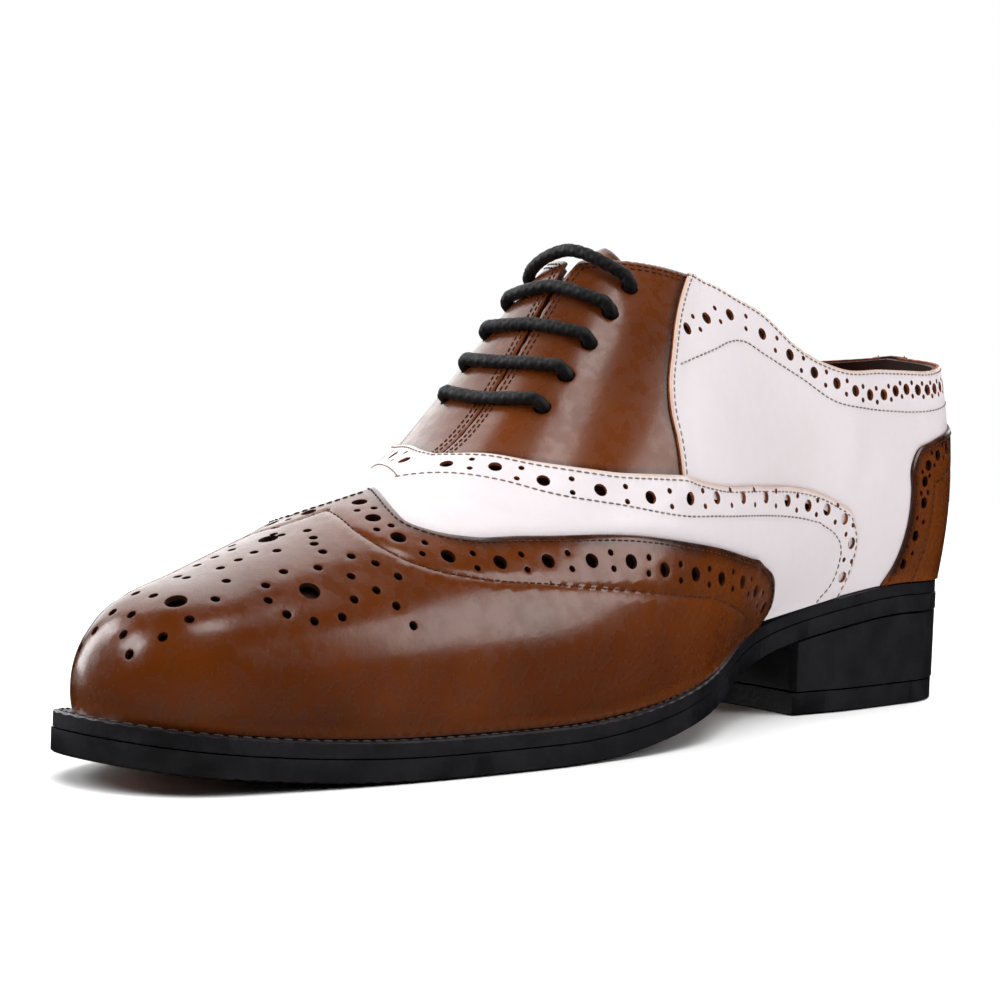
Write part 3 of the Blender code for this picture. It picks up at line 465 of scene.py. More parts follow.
def dense(chart, edge, spacing):
    """A chart curve resampled at equal distances over the leather."""
    edge = np.asarray(edge, float)
    fine = [edge[:1]]
    for a, b in zip(edge[:-1], edge[1:]):
        count = max(2, int(np.linalg.norm((b - a) * metric(chart)) / 0.0004))
        fine.append(a + (b - a) * (np.arange(1, count + 1) / count)[:, None])
    fine = np.concatenate(fine)
    points, _ = chart_skin(chart, fine)
    run = lengths(points)
    count = max(3, int(round(run[-1] / spacing)) + 1)
    samples = np.linspace(0, run[-1], count)
    return np.stack([np.interp(samples, run, fine[:, k]) for k in (0, 1)], -1)


def smooth_edge(points):
    """A smooth chart curve through an edge's own points."""
    points = np.array(points, float)
    run = lengths(points * CHART)
    samples = np.linspace(0, run[-1], max(3, int(run[-1] / 0.002) + 1))
    return np.stack([through(list(zip(run, points[:, k])), samples) for k in (0, 1)], -1)


def offset_edge(chart, edge, distance):
    """A chart curve moved sideways over the leather, to the left of its run seen from outside."""
    points, normals = chart_skin(chart, edge)
    along = np.gradient(points, axis=0)
    along /= np.maximum(np.linalg.norm(along, axis=1)[:, None], TINY)
    left = np.cross(normals, along)
    steps = np.einsum("nij,nj->ni", chart_steps(chart, edge), left)
    return np.asarray(edge) + steps * np.asarray(distance).reshape(-1, 1)


def parallel(chart, edge, distance):
    """An offset line, taken in short steps, without the folds that a tight bend gives it."""
    base, _ = chart_skin(chart, dense(chart, edge, 0.0005))
    count = int(np.ceil(abs(distance) / 0.0025))
    line = np.asarray(edge, float)
    for k in range(1, count + 1):
        line = offset_edge(chart, line, distance / count)
        away, _ = nearest(chart_skin(chart, line)[0], base)
        line = dense(chart, line[away > 0.95 * abs(distance) * k / count - 0.0002], 0.0016)
    return line


def circles(chart, holes, wider):
    """Chart points round each hole, round on the leather; wider is added to its diameter."""
    if not len(holes):
        return []
    centres = np.array([centre for centre, _ in holes])
    _, normals = chart_skin(chart, centres)
    rings = []
    all_steps = chart_steps(chart, centres)
    for centre, (_, diameter), normal, steps in zip(centres, holes, normals, all_steps):
        sides = 14 if diameter > WIDE_HOLE else 9
        first = np.cross(normal, (0.0, 0.0, 1.0))
        first /= np.linalg.norm(first)
        second = np.cross(normal, first)
        angles = np.arange(sides) * 2 * pi / sides
        ring = np.cos(angles)[:, None] * first + np.sin(angles)[:, None] * second
        rings.append(centre + (ring * (diameter + wider) / 2) @ steps.T)
    return rings


def inside(points, polygon):
    """Which chart points lie inside a closed polygon."""
    points, polygon = np.asarray(points), np.asarray(polygon)
    x, y = points[:, 0], points[:, 1]
    hit = np.zeros(len(points), bool)
    for (x0, y0), (x1, y1) in zip(polygon, np.roll(polygon, -1, axis=0)):
        if y0 != y1:
            hit ^= ((y0 > y) != (y1 > y)) & (x < (x1 - x0) * (y - y0) / (y1 - y0) + x0)
    return hit


def nearest(points, targets):
    """Distance from each point to the nearest target, and which target that is."""
    tree = kdtree.KDTree(len(targets))
    for k, p in enumerate(targets):
        tree.insert(p, k)
    tree.balance()
    found = [tree.find(p) for p in points]
    return np.array([f[2] for f in found]), np.array([f[1] for f in found])


def strings(points, keep):
    """Runs of neighbouring points that are kept, as pairs of their numbers."""
    return [(k, k + 1) for k in range(len(points) - 1) if keep[k] and keep[k + 1]]


# Width over which a cut edge is rounded, and the least gap between points of a mesh
ROUND = 0.00045
CLOSE = 0.00032
# Lines of points beside a rim, and the least thickness of a sheet
RIM_LINES = (ROUND, 0.0013, 0.0028)
THINNEST = 0.0002
# A ring of points round each hole, this much wider, keeps its sunk lip neat
HOLE_COLLAR = 0.0007
HOLE_SINK = 0.00004
# Stands for the distance to an edge that a piece doesn't have
FAR = 0.03
# Step of a line that distances are measured to
MEASURE_STEP = 0.0004


def ring_of(start, count):
    """Edges of a closed loop of points numbered from start."""
    return [(start + k, start + (k + 1) % count) for k in range(count)]


def away_from(base, chart, line, step=MEASURE_STEP):
    """Distance from each base point to a chart line."""
    return nearest(base, chart_skin(chart, dense(chart, line, step))[0])[0]


def panel_mesh(chart, outline, cutouts, holes, lines, spacing):
    """A panel laid flat: chart points, and triangles that follow its edges, holes and lines."""
    scale = metric(chart)
    rings = circles(chart, holes, 0.0)
    points, edges = [], []
    for loop in [outline] + cutouts + rings + circles(chart, holes, HOLE_COLLAR):
        edges += ring_of(len(points), len(loop))
        points += list(loop)
    gaps = cutouts + rings
    fixed, _ = chart_skin(chart, np.array(points))
    for line in lines:
        line = dense(chart, line, 0.0009 if len(line) < 900 else 0.0015)
        place, _ = chart_skin(chart, line)
        away, _ = nearest(place, fixed)
        keep = inside(line, outline) & (away > CLOSE)
        for loop in gaps:
            keep &= ~inside(line, loop)
        edges += [(len(points) + a, len(points) + b) for a, b in strings(line, keep)]
        points += list(line)
        fixed = np.concatenate([fixed, place])
    corner, far_corner = outline.min(0), outline.max(0)
    step = spacing / scale
    rows = np.arange(corner[1] + step[1] / 2, far_corner[1], step[1] * 0.87)
    grid = np.array([(x + (k % 2) * step[0] / 2, y) for k, y in enumerate(rows)
                     for x in np.arange(corner[0], far_corner[0] + step[0], step[0])])
    grid = grid[inside(grid, outline)]
    away, _ = nearest(chart_skin(chart, grid)[0], fixed)
    grid = grid[away > spacing * 0.45]
    used = np.zeros(len(points) + len(grid), bool)
    used[np.array(edges)] = True
    used[len(points):] = True
    number = np.cumsum(used) - 1
    edges = [(int(number[a]), int(number[b])) for a, b in edges]
    corners = [Vector(p) for p in np.concatenate([points, grid])[used] * scale]
    flat, _, triangles, _, _, _ = geometry.delaunay_2d_cdt(corners, edges, [], 0, 1e-6)
    flat = np.array([tuple(v) for v in flat]) / scale
    triangles = np.array([t for t in triangles if len(t) == 3])
    middles = flat[triangles].mean(1)
    keep = inside(middles, outline)
    for loop in gaps:
        span = (middles > loop.min(0)).all(1) & (middles < loop.max(0)).all(1)
        span[span] = inside(middles[span], loop)
        keep &= ~span
    return flat, triangles[keep]


def panel_heights(chart, base, high, lip, rims, pale, holes, grooves):
    """Heights of a panel's top side over the last, and distances to the rims that show."""
    height = np.full(len(base), float(high))
    edge = np.full(len(base), FAR)
    if len(rims):
        edge = np.min([away_from(base, chart, rim) for rim in rims], axis=0)
    for away in [edge] + [away_from(base, chart, rim) for rim in pale]:
        height -= lip * (1 - np.clip(away / ROUND, 0, 1)) ** 2
    if len(holes):
        centres, _ = chart_skin(chart, np.array([c for c, _ in holes]))
        radii = np.array([d for _, d in holes]) / 2
        away, which = nearest(base, centres)
        outside = np.clip((away - radii[which]) * 2 / HOLE_COLLAR, 0, 1)
        height -= HOLE_SINK * (1 - outside) ** 2
    for line, depth, half in grooves:
        height -= depth * np.exp(-(away_from(base, chart, line) / half * 1.4) ** 2)
    return height, edge


def closed_sheet(tops, under, normal, triangles):
    """A sheet's points that are used, and its faces: the top ones, then all the others."""
    merged = {}
    index = np.array([merged.setdefault(tuple(np.round(p / SAME)), k) for k, p in enumerate(tops)])
    triangles = index[triangles]
    proper = ((triangles[:, 0] != triangles[:, 1]) & (triangles[:, 1] != triangles[:, 2])
              & (triangles[:, 2] != triangles[:, 0]))
    used, triangles = np.unique(triangles[proper], return_inverse=True)
    triangles = triangles.reshape(-1, 3)
    a, b, c = (tops[used][triangles[:, k]] for k in range(3))
    if np.einsum("ij,ij->", np.cross(b - a, c - a), normal[used][triangles[:, 0]]) < 0:
        triangles = triangles[:, ::-1]
    count = len(used)
    sides = set()
    for t in triangles.tolist():
        for pair in ((t[0], t[1]), (t[1], t[2]), (t[2], t[0])):
            if (pair[1], pair[0]) in sides:
                sides.remove((pair[1], pair[0]))
            else:
                sides.add(pair)
    walls = [(b, a, a + count, b + count) for a, b in sorted(sides)]
    others = (triangles[:, ::-1] + count).tolist() + walls
    return used, np.concatenate([tops[used], under[used]]), triangles.tolist(), others


def cut_panel(name, chart, outline, low, high, finishes, rims=(), holes=(), grooves=(),
              cutouts=(), rise=None, spacing=0.0022, lip=0.00035, foot=None, pale=()):
    """A sheet cut to an outline on a chart, between two heights out of its surface.

    rims are the edges that show: they are rounded over by lip, and the sheet's colour deepens
    there. pale are edges rounded over the same way that keep their colour.
    holes are (centre, diameter); grooves are (line, depth, half width).
    low may be a function of the chart points; rise gives an extra height at each point.
    The last of the finishes is the one of the cut edges and the back.
    """
    outline = np.asarray(outline, float)
    lines = []
    for rim in list(rims) + list(pale):
        middle = offset_edge(chart, rim, 0.001)[len(rim) // 2]
        sign = 1 if inside(middle[None], outline)[0] else -1
        lines += [offset_edge(chart, rim, sign * d) for d in RIM_LINES]
    for line, _, half in grooves:
        lines += [line, offset_edge(chart, line, half), offset_edge(chart, line, -half)]
    cutouts = [np.asarray(loop) for loop in cutouts]
    flat, triangles = panel_mesh(chart, outline, cutouts, holes, lines, spacing)
    base, normal = chart_skin(chart, flat)
    height, edge = panel_heights(chart, base, high, lip, rims, pale, holes, grooves)
    extra = rise(flat, base) if rise else 0.0
    low = low(flat) if callable(low) else low
    tops = base + normal * (height + extra)[:, None]
    under = base + normal * (np.minimum(low, height - THINNEST) + extra)[:, None]
    used, points, faces, others = closed_sheet(tops, under, normal, triangles)
    slots = [0] * len(faces) + [len(finishes) - 1] * len(others)
    far = np.full(len(used), FAR)
    if foot is not None:
        far = away_from(base[used], chart, foot, 2 * MEASURE_STEP)
    values = {"edge": np.tile(edge[used] * 1000, 2), "foot": np.tile(far * 1000, 2)}
    return new_piece(name, points, faces + others, finishes, slots, values)


def new_piece(name, points, faces, finishes, slots=None, values=None, angle=48):
    """A mesh object in the shoe's own frame, smooth except across sharp edges."""
    mesh = bpy.data.meshes.new(name)
    mesh.from_pydata([tuple(p) for p in points], [], faces)
    for finish in finishes:
        mesh.materials.append(finish)
    if slots is not None:
        mesh.polygons.foreach_set("material_index", slots)
    for key, value in (values or {}).items():
        layer = mesh.attributes.new(key, "FLOAT", "POINT")
        layer.data.foreach_set("value", np.asarray(value, np.float32))
    mesh.validate()
    mesh.shade_smooth()
    mesh.set_sharp_from_angle(angle=radians(angle))
    piece = bpy.data.objects.new(name, mesh)
    bpy.context.collection.objects.link(piece)
    return piece


def settle(piece, slot, *nodes):
    """Hang a finished piece on the shoe, in place of the plain solids it stands for."""
    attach(piece, BODY)
    if nodes:
        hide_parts(*nodes)
    return piece


# Panel edges on the charts

def on_ridge(edge, side):
    """Rows of (place, girth) as points of the ridge chart."""
    edge = np.asarray(edge)
    return np.stack([edge[:, 0], (1 - edge[:, 1]) * side], -1)


def on_seam(edge, side):
    """Rows of (place, girth) as points of the seam chart."""
    edge = np.asarray(edge)
    return np.stack([edge[:, 0] * side, edge[:, 1]], -1)


def fine(chart, edge, spacing=0.0016):
    """A smooth line through an edge's own points, in equal steps."""
    return dense(chart, smooth_edge(edge), spacing)


def wing_line(side):
    """The wing cap's edge on one side, from the welt to its peak on the ridge."""
    front = WING_FRONT_MEDIAL if side == MEDIAL else WING_FRONT_LATERAL
    return fine("ridge", on_ridge(WING_REAR + front, side))


def neck_line(side):
    """The vamp's upper edge on one side, from the welt to the ridge."""
    return fine("ridge", on_ridge(SWAN_NECK, side))


def joined(half):
    """Both sides of a line that crosses the ridge, from the medial welt to the lateral one."""
    return np.concatenate([half(MEDIAL), half(LATERAL)[::-1][1:]])


def punched_row(chart, centres, large, small):
    """Brogue holes: large ones at the centres, and a pair of small ones across each gap."""
    centres = np.asarray(centres, float)
    line = fine(chart, centres, 0.0006)
    place, _ = chart_skin(chart, line)
    run = lengths(place)
    _, at = nearest(chart_skin(chart, centres)[0], place)
    middle = (run[at][1:] + run[at][:-1]) / 2
    holes = [(centre, large) for centre in centres]
    for shift in (-PAIR_SHIFT, PAIR_SHIFT):
        beside = offset_edge(chart, line, shift)
        holes += [(np.array(centre), small)
                  for centre in zip(*(np.interp(middle, run, beside[:, j]) for j in (0, 1)))]
    return holes


def meeting(a, b):
    """Where line a first crosses line b: how far along a (in points) and the crossing."""
    for i in range(len(a) - 1):
        p, r = a[i], a[i + 1] - a[i]
        q, s = b[:-1], b[1:] - b[:-1]
        cross = r[0] * s[:, 1] - r[1] * s[:, 0]
        cross = np.where(np.abs(cross) < 1e-18, 1e-18, cross)
        t = ((q - p)[:, 0] * s[:, 1] - (q - p)[:, 1] * s[:, 0]) / cross
        u = ((q - p)[:, 0] * r[1] - (q - p)[:, 1] * r[0]) / cross
        hit = (t >= 0) & (t <= 1) & (u >= 0) & (u <= 1)
        if hit.any():
            share = t[hit].min()
            return i + share, p + r * share
    raise ValueError("two panel edges do not cross")


def overlong(line, by=0.04):
    """A line drawn out a little at both ends, so that it crosses its neighbours."""
    first, last = line[0] - line[2], line[-1] - line[-3]
    first, last = first / np.linalg.norm(first), last / np.linalg.norm(last)
    return np.concatenate([[line[0] + first * by], line, [line[-1] + last * by]])


def closed_by(edges):
    """An outline from edges that each cross the next one."""
    outline = []
    for k, edge in enumerate(edges):
        before, after = edges[k - 1], edges[(k + 1) % len(edges)]
        if meeting(edge, before)[0] > meeting(edge, after)[0]:
            edge = edge[::-1]
        start, first = meeting(edge, before)
        end, _ = meeting(edge, after)
        outline += [first] + list(edge[int(np.floor(start)) + 1:int(np.ceil(end))])
    return np.array(outline)


def one_side(line, side):
    """The part of a ridge-chart line that lies on one side, ended on the ridge."""
    keep = line[:, 1] * side > 1e-4
    inner = line[keep]
    last = line[np.argmin(np.abs(line[:, 1]))]
    return np.concatenate([inner, [[last[0], 0.0]]])


def toeward(line, side, distance):
    """A wing or swan-neck line moved towards the toe over the leather."""
    return one_side(parallel("ridge", line, side * distance), side)


def colour(code):
    """Linear RGBA of an sRGB hex value."""
    values = [int(code[k:k + 2], 16) / 255 for k in (1, 3, 5)]
    return (*[v / 12.92 if v <= 0.04045 else ((v + 0.055) / 1.055) ** 2.4 for v in values], 1.0)


def add(tree, kind, settings=(), **inputs):
    """Add a node; inputs are constants or other nodes' sockets, by name or i0, i1 for a number."""
    node = tree.nodes.new(kind)
    for key, value in dict(settings).items():
        setattr(node, key, value)
    for key, value in inputs.items():
        socket = node.inputs[int(key[1:])] if key[1:].isdigit() else node.inputs[key.replace("_", " ")]
        if isinstance(value, bpy.types.NodeSocket):
            tree.links.new(value, socket)
        else:
            socket.default_value = value
    return node


def blank(name):
    """A new material, its node tree and its Principled shader."""
    material = bpy.data.materials.new(name)
    material.use_nodes = True
    return material, material.node_tree, material.node_tree.nodes["Principled BSDF"]


def noise(tree, size, detail=3.0, rough=0.55):
    """Noise with blotches of a size in metres, on the piece's own coordinates."""
    where = add(tree, "ShaderNodeTexCoord")
    return add(tree, "ShaderNodeTexNoise", Vector=where.outputs["Object"], Scale=1 / size,
               Detail=detail, Roughness=rough).outputs["Fac"]


def spread(tree, value, low, high, to_low=0.0, to_high=1.0):
    """A value between low and high, eased over to another range."""
    settings = {"interpolation_type": "SMOOTHSTEP"}
    return add(tree, "ShaderNodeMapRange", settings, i0=value, i1=low, i2=high, i3=to_low,
               i4=to_high).outputs[0]


def blend(tree, share, first, second):
    """Mix of two colours."""
    settings = {"data_type": "RGBA"}
    return add(tree, "ShaderNodeMix", settings, i0=share, i6=first, i7=second).outputs[2]


def measure(tree, name):
    """A distance in mm that cut_panel stored on the mesh."""
    return add(tree, "ShaderNodeAttribute", {"attribute_name": name}).outputs["Fac"]


def relief_of(tree, shader, *heights):
    """Chain of bumps: pairs of height socket and depth in metres."""
    normal = None
    for height, depth in heights:
        extra = {"Normal": normal} if normal else {}
        normal = add(tree, "ShaderNodeBump", Height=height, Distance=depth, Strength=1.0,
                     **extra).outputs["Normal"]
    tree.links.new(normal, shader.inputs["Normal"])


def calf(name, light, deep, dark, edge_reach, gloss, coat, foot=False):
    """Aniline calf, hand-burnished: cloudy body colour, deeper along every rim it is given: a burnish
    on cut edges, partly painted shade on the facings beside the panels lapping them. With foot, a
    painted sheen lightens it along the welt.
    """
    material, tree, shader = blank(name)
    cloud = spread(tree, noise(tree, 0.045, 2.0), 0.2, 0.8)
    streak = spread(tree, noise(tree, 0.004, 5.0), 0.25, 0.75)
    body = blend(tree, cloud, light, deep)
    body = blend(tree, add(tree, "ShaderNodeMath", {"operation": "MULTIPLY"}, i0=streak, i1=0.06)
                 .outputs[0], body, dark)
    # Darker along the rims: burnish on cut edges; on the facings the rims lie under the lapping
    # quarter and vamp, so there it is partly painted shade
    burnish_and_shade = spread(tree, measure(tree, "edge"), 0.3, edge_reach, 1.0, 0.0)
    patch = spread(tree, noise(tree, 0.009, 2.0), 0.2, 0.8, 0.55, 1.0)
    burnish_and_shade = add(tree, "ShaderNodeMath", {"operation": "MULTIPLY"}, i0=burnish_and_shade, i1=patch).outputs[0]
    body = blend(tree, burnish_and_shade, body, dark)
    if foot:
        # Painted sheen: the colour eases to the light tone within 0.8 to 4 mm of the welt
        shine = spread(tree, measure(tree, "foot"), 0.8, 4.0, 0.8, 0.0)
        body = blend(tree, shine, body, light)
    tree.links.new(body, shader.inputs["Base Color"])
    rough = spread(tree, streak, 0.0, 1.0, gloss - 0.05, gloss + 0.09)
    tree.links.new(rough, shader.inputs["Roughness"])
    shader.inputs["IOR"].default_value = 1.48
    shader.inputs["Coat Weight"].default_value = coat
    shader.inputs["Coat Roughness"].default_value = 0.16
    shader.inputs["Coat IOR"].default_value = 1.45
    relief_of(tree, shader, (noise(tree, 0.0007, 2.0), 0.00003), (noise(tree, 0.009, 2.0), 0.00012))
    return material


def plain(name, base, other, gloss, coat=0.0, grain=0.0012, depth=0.00005, share=1.0):
    """A finish of two mottled tones with a fine grain."""
    material, tree, shader = blank(name)
    mottle = spread(tree, noise(tree, grain * 6, 4.0), 0.3, 0.7, 0.0, share)
    tree.links.new(blend(tree, mottle, colour(base), colour(other)), shader.inputs["Base Color"])
    tree.links.new(spread(tree, mottle, 0.0, 1.0, gloss, gloss + 0.1), shader.inputs["Roughness"])
    shader.inputs["IOR"].default_value = 1.5
    shader.inputs["Coat Weight"].default_value = coat
    shader.inputs["Coat Roughness"].default_value = 0.15
    relief_of(tree, shader, (noise(tree, grain, 2.0), depth))
    return material


FINISHES = {}


def finish(name):
    """The material of one finish, made once."""
    if name not in FINISHES:
        c = bpy.context.scene.wingtip
        makers = {
            # Glossy burnished calf: clouds of light and dark brown, nearly black at cut edges, lighter
            # along the welt with a painted sheen
            "cognac calf": lambda: calf("cognac_calf", c.cognac_light, c.cognac, c.cognac_dark,
                                        4.5, 0.24, 0.5, foot=True),
            # The same calf with a narrower dark band: a burnish on the tongue's top edge, and on the
            # facings partly burnish colour, partly painted shade beside the quarter and vamp that lap
            # over them
            "facing calf": lambda: calf("cognac_calf_facing_burnish_and_lap_shade", c.cognac_light, c.cognac,
                                        c.cognac_dark, 2.4, 0.27, 0.4),
            # Satin white calf, faintly pink in the shade, tan where its edges are worn
            "white calf": lambda: calf("white_calf", c.white, c.white_shade, c.white_edge, 1.1,
                                       0.40, 0.18),
            # Raw tan fibre, seen in the holes and on the edges of the white panels
            "cut edge": lambda: plain("raw_calf_edge", "#a3541f", "#6b3213", 0.7, grain=0.0004),
            # Edge burnt and waxed to a dark line round the brown panels
            "dark cut edge": lambda: plain("burnished_calf_edge", "#4a1e0c", "#2a1008", 0.5,
                                           grain=0.0004),
            # Matt dark red-brown inside
            "lining": lambda: plain("mahogany_lining_calf", "#3a160c", "#200b07", 0.55),
            # Black ink and wax over leather: dark, smooth, with a low sheen
            "edge ink": lambda: plain("ink_blackened_leather_edge", "#232226", "#151417", 0.32,
                                      0.15, 0.0016, 0.00012),
            # Orange-brown oak-tanned leather, inked black towards its edge
            "sole leather": sole_leather,
            # Dead matt grey-black
            "rubber": lambda: plain("moulded_black_rubber", "#2a2a2c", "#19191b", 0.72,
                                    grain=0.0006, depth=0.0001),
            # Soft black with a little shine on the braid's crowns
            "lace": lambda: plain("waxed_black_cotton", "#121114", "#08080a", 0.55,
                                  grain=0.0005, depth=0.00008),
            # Threads, a shade darker than the leather they cross
            "brown thread": lambda: plain("brown_linen_thread", "#5b2a12", "#2e1208", 0.6),
            "white thread": lambda: plain("greyed_cotton_thread", "#8f7f76", "#6a5a50", 0.65),
            "welt thread": lambda: plain("waxed_linen_thread", "#45403d", "#2b2826", 0.6),
        }
        FINISHES[name] = makers[name]()
    return FINISHES[name]


def sole_leather():
    """Oak-bark sole leather, burnished: orange-brown in the middle, inked black at the edge."""
    material, tree, shader = blank("oak_tanned_sole_leather")
    cloud = spread(tree, noise(tree, 0.03, 4.0), 0.3, 0.7)
    body = blend(tree, cloud, colour("#9a4a1b"), colour("#6f2d10"))
    edge = measure(tree, "edge")
    wander = spread(tree, noise(tree, 0.02, 3.0), 0.0, 1.0, -6.0, 6.0)
    reach = add(tree, "ShaderNodeMath", {"operation": "ADD"}, i0=edge, i1=wander).outputs[0]
    body = blend(tree, spread(tree, reach, 2.0, 18.0, 1.0, 0.0), body, colour("#1c0f0b"))
    tree.links.new(body, shader.inputs["Base Color"])
    shader.inputs["Roughness"].default_value = 0.38
    shader.inputs["Coat Weight"].default_value = 0.2
    shader.inputs["Coat Roughness"].default_value = 0.2
    where = add(tree, "ShaderNodeTexCoord").outputs["Object"]
    ribs = add(tree, "ShaderNodeTexWave", {"bands_direction": "Y"}, Vector=where, Scale=160.0,
               Distortion=1.5, Detail=1.0).outputs["Fac"]
    relief_of(tree, shader, (ribs, 0.00012), (noise(tree, 0.001, 3.0), 0.00006))
    return material


def stitch_tree():
    """Geometry nodes that lay a stitch of thread at every step along the input's edges."""
    tree = bpy.data.node_groups.new("Stitches along lines", "GeometryNodeTree")
    face = tree.interface
    face.new_socket("Geometry", in_out="INPUT", socket_type="NodeSocketGeometry")
    for name in ("Pitch", "Length", "Width"):
        face.new_socket(name, in_out="INPUT", socket_type="NodeSocketFloat")
    face.new_socket("Thread", in_out="INPUT", socket_type="NodeSocketMaterial")
    face.new_socket("Geometry", in_out="OUTPUT", socket_type="NodeSocketGeometry")
    given = tree.nodes.new("NodeGroupInput").outputs
    curve = add(tree, "GeometryNodeMeshToCurve", Mesh=given["Geometry"])
    points = add(tree, "GeometryNodeCurveToPoints", {"mode": "LENGTH"}, Curve=curve.outputs[0],
                 Length=given["Pitch"])
    bead = add(tree, "GeometryNodeMeshUVSphere", Segments=6, Rings=4, Radius=0.5)
    size = add(tree, "ShaderNodeCombineXYZ", X=given["Width"], Y=given["Width"], Z=given["Length"])
    laid = add(tree, "GeometryNodeInstanceOnPoints", Points=points.outputs["Points"],
               Instance=bead.outputs["Mesh"], Rotation=points.outputs["Rotation"],
               Scale=size.outputs[0])
    real = add(tree, "GeometryNodeRealizeInstances", Geometry=laid.outputs[0])
    smooth = add(tree, "GeometryNodeSetShadeSmooth", Geometry=real.outputs[0])
    done = add(tree, "GeometryNodeSetMaterial", Geometry=smooth.outputs[0], Material=given["Thread"])
    add(tree, "NodeGroupOutput", Geometry=done.outputs[0])
    return tree


def stitches(name, slot, carrier, rows, thread, pitch=None, length=None, width=None):
    """Thread along rows of (chart, line), lying on the carrier's surface."""
    sizes = bpy.context.scene.wingtip
    pitch = pitch or sizes.stitch_pitch
    length = length or sizes.stitch_length
    width = width or sizes.thread_width
    tree = bpy.data.node_groups.get("Stitches along lines") or stitch_tree()
    carrier_tree = BVHTree.FromObject(carrier, bpy.context.evaluated_depsgraph_get())
    points, edges = [], []
    for chart, line in rows:
        line = dense(chart, line, 0.0012)
        base, normal = chart_skin(chart, line)
        before = None
        for p, n in zip(base, normal):
            hit = carrier_tree.ray_cast(Vector(p + n * 0.006), Vector(-n), 0.009)[0]
            if hit is None:
                before = None
                continue
            points.append(hit + Vector(n) * width * 0.15)
            if before is not None:
                edges.append((before, len(points) - 1))
            before = len(points) - 1
    mesh = bpy.data.meshes.new(name + "_lines")
    mesh.from_pydata(points, edges, [])
    lines = bpy.data.objects.new(name, mesh)
    bpy.context.collection.objects.link(lines)
    nodes = lines.modifiers.new("stitches", "NODES")
    nodes.node_group = tree
    values = {"Pitch": pitch, "Length": length, "Width": width, "Thread": finish(thread)}
    for item in tree.interface.items_tree:
        if item.in_out == "INPUT" and item.name in values:
            nodes[item.identifier] = values[item.name]
    bpy.context.view_layer.update()
    view = bpy.context.evaluated_depsgraph_get()
    result = bpy.data.meshes.new_from_object(lines.evaluated_get(view))
    lines.modifiers.clear()
    lines.data = result
    result.name = name
    if not len(result.polygons):
        raise ValueError("no stitches on " + name)
    return settle(lines, slot)


# Pieces: each lies between two heights out of the last's surface
LINING_LAYER = (-0.00065, -0.002)
TONGUE_LAYER = (-0.0059, -0.0044)
QUARTER_LAYER = (-0.00055, 0.0004)
VAMP_LAYER = (0.00045, 0.00135)
COUNTER_LAYER = (0.00045, 0.0013)
CAP_LAYER = (0.0004, 0.0017)
# How far a panel runs on under the one that laps over it
LAP = 0.0035
# The vamp sinks this much under the cap, within SINK_REACH of the cap's edge
SINK = 0.0009
SINK_REACH = 0.0022
# The quarter and vamp lift this much where they lap over the facing
LAP_RISE = 0.001
LAP_REACH = 0.006
# First stitch row from an edge, and the facing's pair of rows
CAP_ROW = 0.0015
VAMP_ROW = 0.0013
QUARTER_ROW = 0.0012
COLLAR_ROW = 0.0011
FACING_ROWS = (0.0014, 0.0028)
# Width of the counter's band of holes
COUNTER_BAND = 0.0118
# Small holes of a band lie in pairs, this far to each side of its middle
PAIR_SHIFT = 0.0019
# Holes at least this wide get rounder outlines
WIDE_HOLE = 0.0026
# The wing's front reaches further towards the toe on the lateral side, as a share of the last
LATERAL_REACH = 0.023
# Lace holes from the toe up, and how much each bar rises over its rest on the facings
LACE_PLACES = np.linspace(0.566, 0.498, 5)
LACE_GIRTHS = np.linspace(0.84, 0.885, 5)
LACE_ARCHES = (-0.0008, -0.0008, -0.0008, -0.0004, 0.0010)
# The bars sag this much towards the toe, as a share of the last
LACE_SAG = 0.008
# Height of the lace's middle where it runs hidden under the facings
LACE_UNDER = -0.0034
# Step along the lace, and strands in each of the braid's two families
LACE_STEP = 0.0003
BRAID_STRANDS = 4
# The toe cap's medallion
MEDALLION_HOLE = 0.0046
MEDALLION_PINHOLE = 0.0021
MEDALLION_LARGE = ((0.868, 0.724), (0.768, 0.533))
MEDALLION_SMALL = (
    (0.726, 0.905), (0.731, 0.829), (0.736, 0.784), (0.738, 0.714), (0.726, 0.638), (0.716, 0.573),
    (0.708, 0.497), (0.751, 0.633), (0.711, 0.322), (0.773, 0.673), (0.793, 0.623), (0.800, 0.538),
    (0.793, 0.452), (0.776, 0.402), (0.756, 0.397), (0.743, 0.452), (0.736, 0.548), (0.726, 0.467),
    (0.718, 0.397), (0.768, 0.920), (0.783, 0.910), (0.800, 0.905), (0.813, 0.749), (0.838, 0.628),
    (0.873, 0.548), (0.903, 0.518), (0.938, 0.568), (0.828, 0.960), (0.873, 0.905), (0.905, 0.879),
    (0.928, 0.779), (0.738, 0.975), (0.758, 0.844),
)


def foot_line(chart, side, start=0.0, end=1.0):
    """The last's bottom edge, where the leather meets the welt."""
    places = np.linspace(start, end, 90)
    line = np.stack([places, np.zeros(90)], -1)
    return on_ridge(line, side) if chart == "ridge" else on_seam(line, side)


